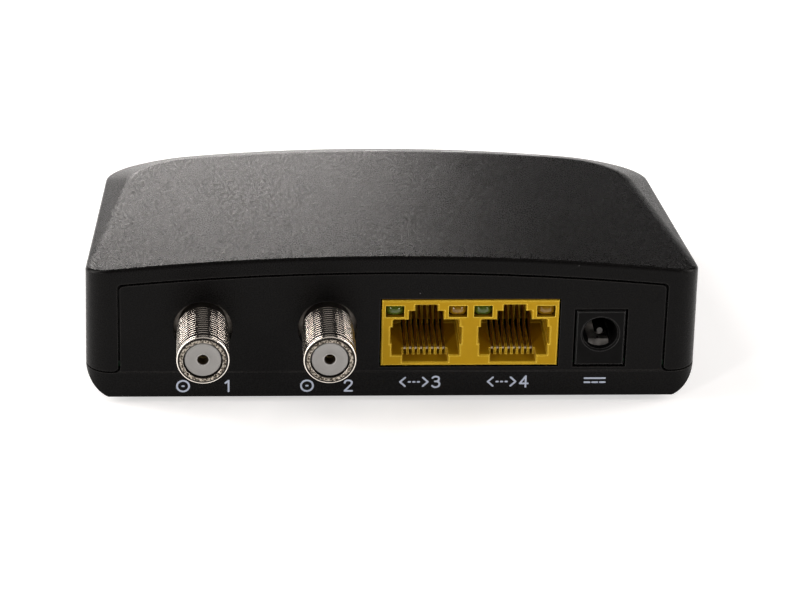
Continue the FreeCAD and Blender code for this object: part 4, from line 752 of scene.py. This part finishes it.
# The height of the marks, and the heights above the floor that they stand at, in millimetres.
MARK_HEIGHT = 2.2
COAX_LINE, NETWORK_LINE, POWER_LINE = 2.05, 2.75, 2.9
make_print("socket_numbers", [
    (MARKS["socket"], -39.2, COAX_LINE, MARK_HEIGHT),
    (DIGITS["1"], -30.6, COAX_LINE, MARK_HEIGHT),
    (MARKS["socket"], -16.6, COAX_LINE, MARK_HEIGHT),
    (DIGITS["2"], -8.6, COAX_LINE, MARK_HEIGHT),
    (MARKS["network"], 1.5, NETWORK_LINE, MARK_HEIGHT),
    (DIGITS["3"], 7.4, NETWORK_LINE, MARK_HEIGHT),
    (MARKS["network"], 17.6, NETWORK_LINE, MARK_HEIGHT),
    (DIGITS["4"], 23.5, NETWORK_LINE, MARK_HEIGHT),
    (MARKS["direct_current"], 35.4, POWER_LINE, MARK_HEIGHT),
])


# ---------------------------------------------------------------------------------------------
# Stage
# ---------------------------------------------------------------------------------------------


# How much brighter than it is lit the camera, mirrors and glass see the floor.
FLOOR_LIFT = 0.44
# How far the floor reaches to each side, and how far before and behind the object.
FLOOR_REACH_X, FLOOR_REACH_Y = 4.0, 2.4


def make_floor():
    """A pale paper floor, which the camera and mirrors see a little brighter than it is lit."""
    corners = [(-FLOOR_REACH_X, -FLOOR_REACH_Y, 0.0), (FLOOR_REACH_X, -FLOOR_REACH_Y, 0.0),
               (FLOOR_REACH_X, FLOOR_REACH_Y, 0.0), (-FLOOR_REACH_X, FLOOR_REACH_Y, 0.0)]
    mesh = bpy.data.meshes.new("floor")
    mesh.from_pydata(corners, [], [(0, 1, 2, 3)])
    floor = bpy.data.objects.new("floor", mesh)
    bpy.context.scene.collection.objects.link(floor)
    shader = Shader("floor_paper", (0.84, 0.84, 0.84), 0.8, specular=0.1)
    shader.tint(shader.noise(30), (0.85, 0.85, 0.85))
    seen = shader.node("ShaderNodeLightPath")
    rays = shader.combine(seen.outputs["Is Camera Ray"], seen.outputs["Is Glossy Ray"])
    rays = shader.combine(rays, seen.outputs["Is Transmission Ray"])
    lifted = shader.node("ShaderNodeMath", operation="MULTIPLY")
    lifted.inputs[1].default_value = FLOOR_LIFT
    shader.link(rays, lifted.inputs[0])
    shader.set("Emission Color", (1.0, 1.0, 1.0, 1.0))
    shader.link(lifted.outputs[0], shader.surface.inputs["Emission Strength"])
    mesh.materials.append(shader.material)


def area_light(name, place, aim, width, height, power):
    """A soft rectangular lamp at a place, turned to face a point. Its power is in watts."""
    lamp = bpy.data.lights.new(name, "AREA")
    lamp.shape = "RECTANGLE"
    lamp.size = width
    lamp.size_y = height
    lamp.energy = power
    lamp.color = WARM
    thing = bpy.data.objects.new(name, lamp)
    direction = Vector(aim) - Vector(place)
    thing.rotation_euler = direction.to_track_quat("-Z", "Y").to_euler()
    thing.location = place
    bpy.context.scene.collection.objects.link(thing)
    thing.visible_camera = False


make_floor()
CENTRE = (0.0, 0.0, 0.02)
WARM = (1.0, 0.955, 0.925)
# The lamp behind the object stands low and rakes across the crowned top.
LOW = 0.075
# Each lamp's name, place, aim, width, height and power. Lamps named front stand on the connector
# side, and the small ones there give the lenses their glints.
LAMPS = [
    ("back", (-0.0698, 0.9976, LOW), (0.0, 0.0, LOW), 0.281, 0.095, 1.0),
    ("crease", (-0.405, 0.887, 0.225), CENTRE, 0.12, 0.12, 0.22),
    ("side_left", (-1.00, 0.10, 0.45), CENTRE, 0.60, 0.60, 8.5),
    ("side_left_low", (-1.00, -0.15, 0.15), CENTRE, 0.60, 0.25, 3.6),
    ("side_right", (1.00, 0.10, 0.45), CENTRE, 0.60, 0.60, 6.5),
    ("side_right_low", (1.00, -0.15, 0.15), CENTRE, 0.60, 0.25, 2.2),
    ("above_left", (-0.75, 0.35, 1.0), CENTRE, 0.50, 0.50, 5.6),
    ("above_right", (0.75, 0.35, 1.0), CENTRE, 0.50, 0.50, 3.0),
    ("above", (0.0, 0.1, 1.3), CENTRE, 0.70, 0.70, 1.0),
    ("front_left", (-0.62, -0.70, 0.36), CENTRE, 0.12, 0.12, 2.1),
    ("front_right", (0.62, -0.70, 0.36), CENTRE, 0.12, 0.12, 1.8),
    ("low_front", (0.0, -1.30, 0.40), CENTRE, 2.20, 0.80, 3.4),
]
for lamp_row in LAMPS:
    area_light(*lamp_row)

world = bpy.data.worlds.new("studio")
world.use_nodes = True
background = world.node_tree.nodes["Background"]
background.inputs["Color"].default_value = (1.0, 1.0, 1.0, 1.0)
background.inputs["Strength"].default_value = 0.02
bpy.context.scene.world = world
bpy.context.scene.view_settings.view_transform = "Standard"


# ---------------------------------------------------------------------------------------------
# Camera
# ---------------------------------------------------------------------------------------------


# The camera's place in millimetres, its turns in degrees (to the right, down, and its lean), and
# its focal length for a sensor 36 mm wide.
CAMERA_PLACE = (-35.96, -588.715, 311.6)
CAMERA_TURNS = (3.644, 27.309, 1.532)
FOCAL_LENGTH, SENSOR_WIDTH = 160.5, 36.0


def make_camera():
    """The camera stands left of centre, above the connector side, and leans slightly."""
    yaw, pitch, roll = (math.radians(angle) for angle in CAMERA_TURNS)
    forward = Vector((math.sin(yaw) * math.cos(pitch), math.cos(yaw) * math.cos(pitch),
                      -math.sin(pitch)))
    level = Vector((math.cos(yaw), -math.sin(yaw), 0.0))
    upward = level.cross(forward)
    right = level * math.cos(roll) + upward * math.sin(roll)
    up = upward * math.cos(roll) - level * math.sin(roll)
    data = bpy.data.cameras.new("camera")
    data.sensor_width = SENSOR_WIDTH
    data.lens = FOCAL_LENGTH
    data.clip_start = 0.01
    data.clip_end = 20.0
    camera = bpy.data.objects.new("camera", data)
    axes = Matrix((right, up, -forward)).transposed().to_4x4()
    axes.translation = Vector(CAMERA_PLACE) * MM
    camera.matrix_world = axes
    bpy.context.scene.collection.objects.link(camera)
    bpy.context.scene.camera = camera


make_camera()

bpy.context.view_layer.update()
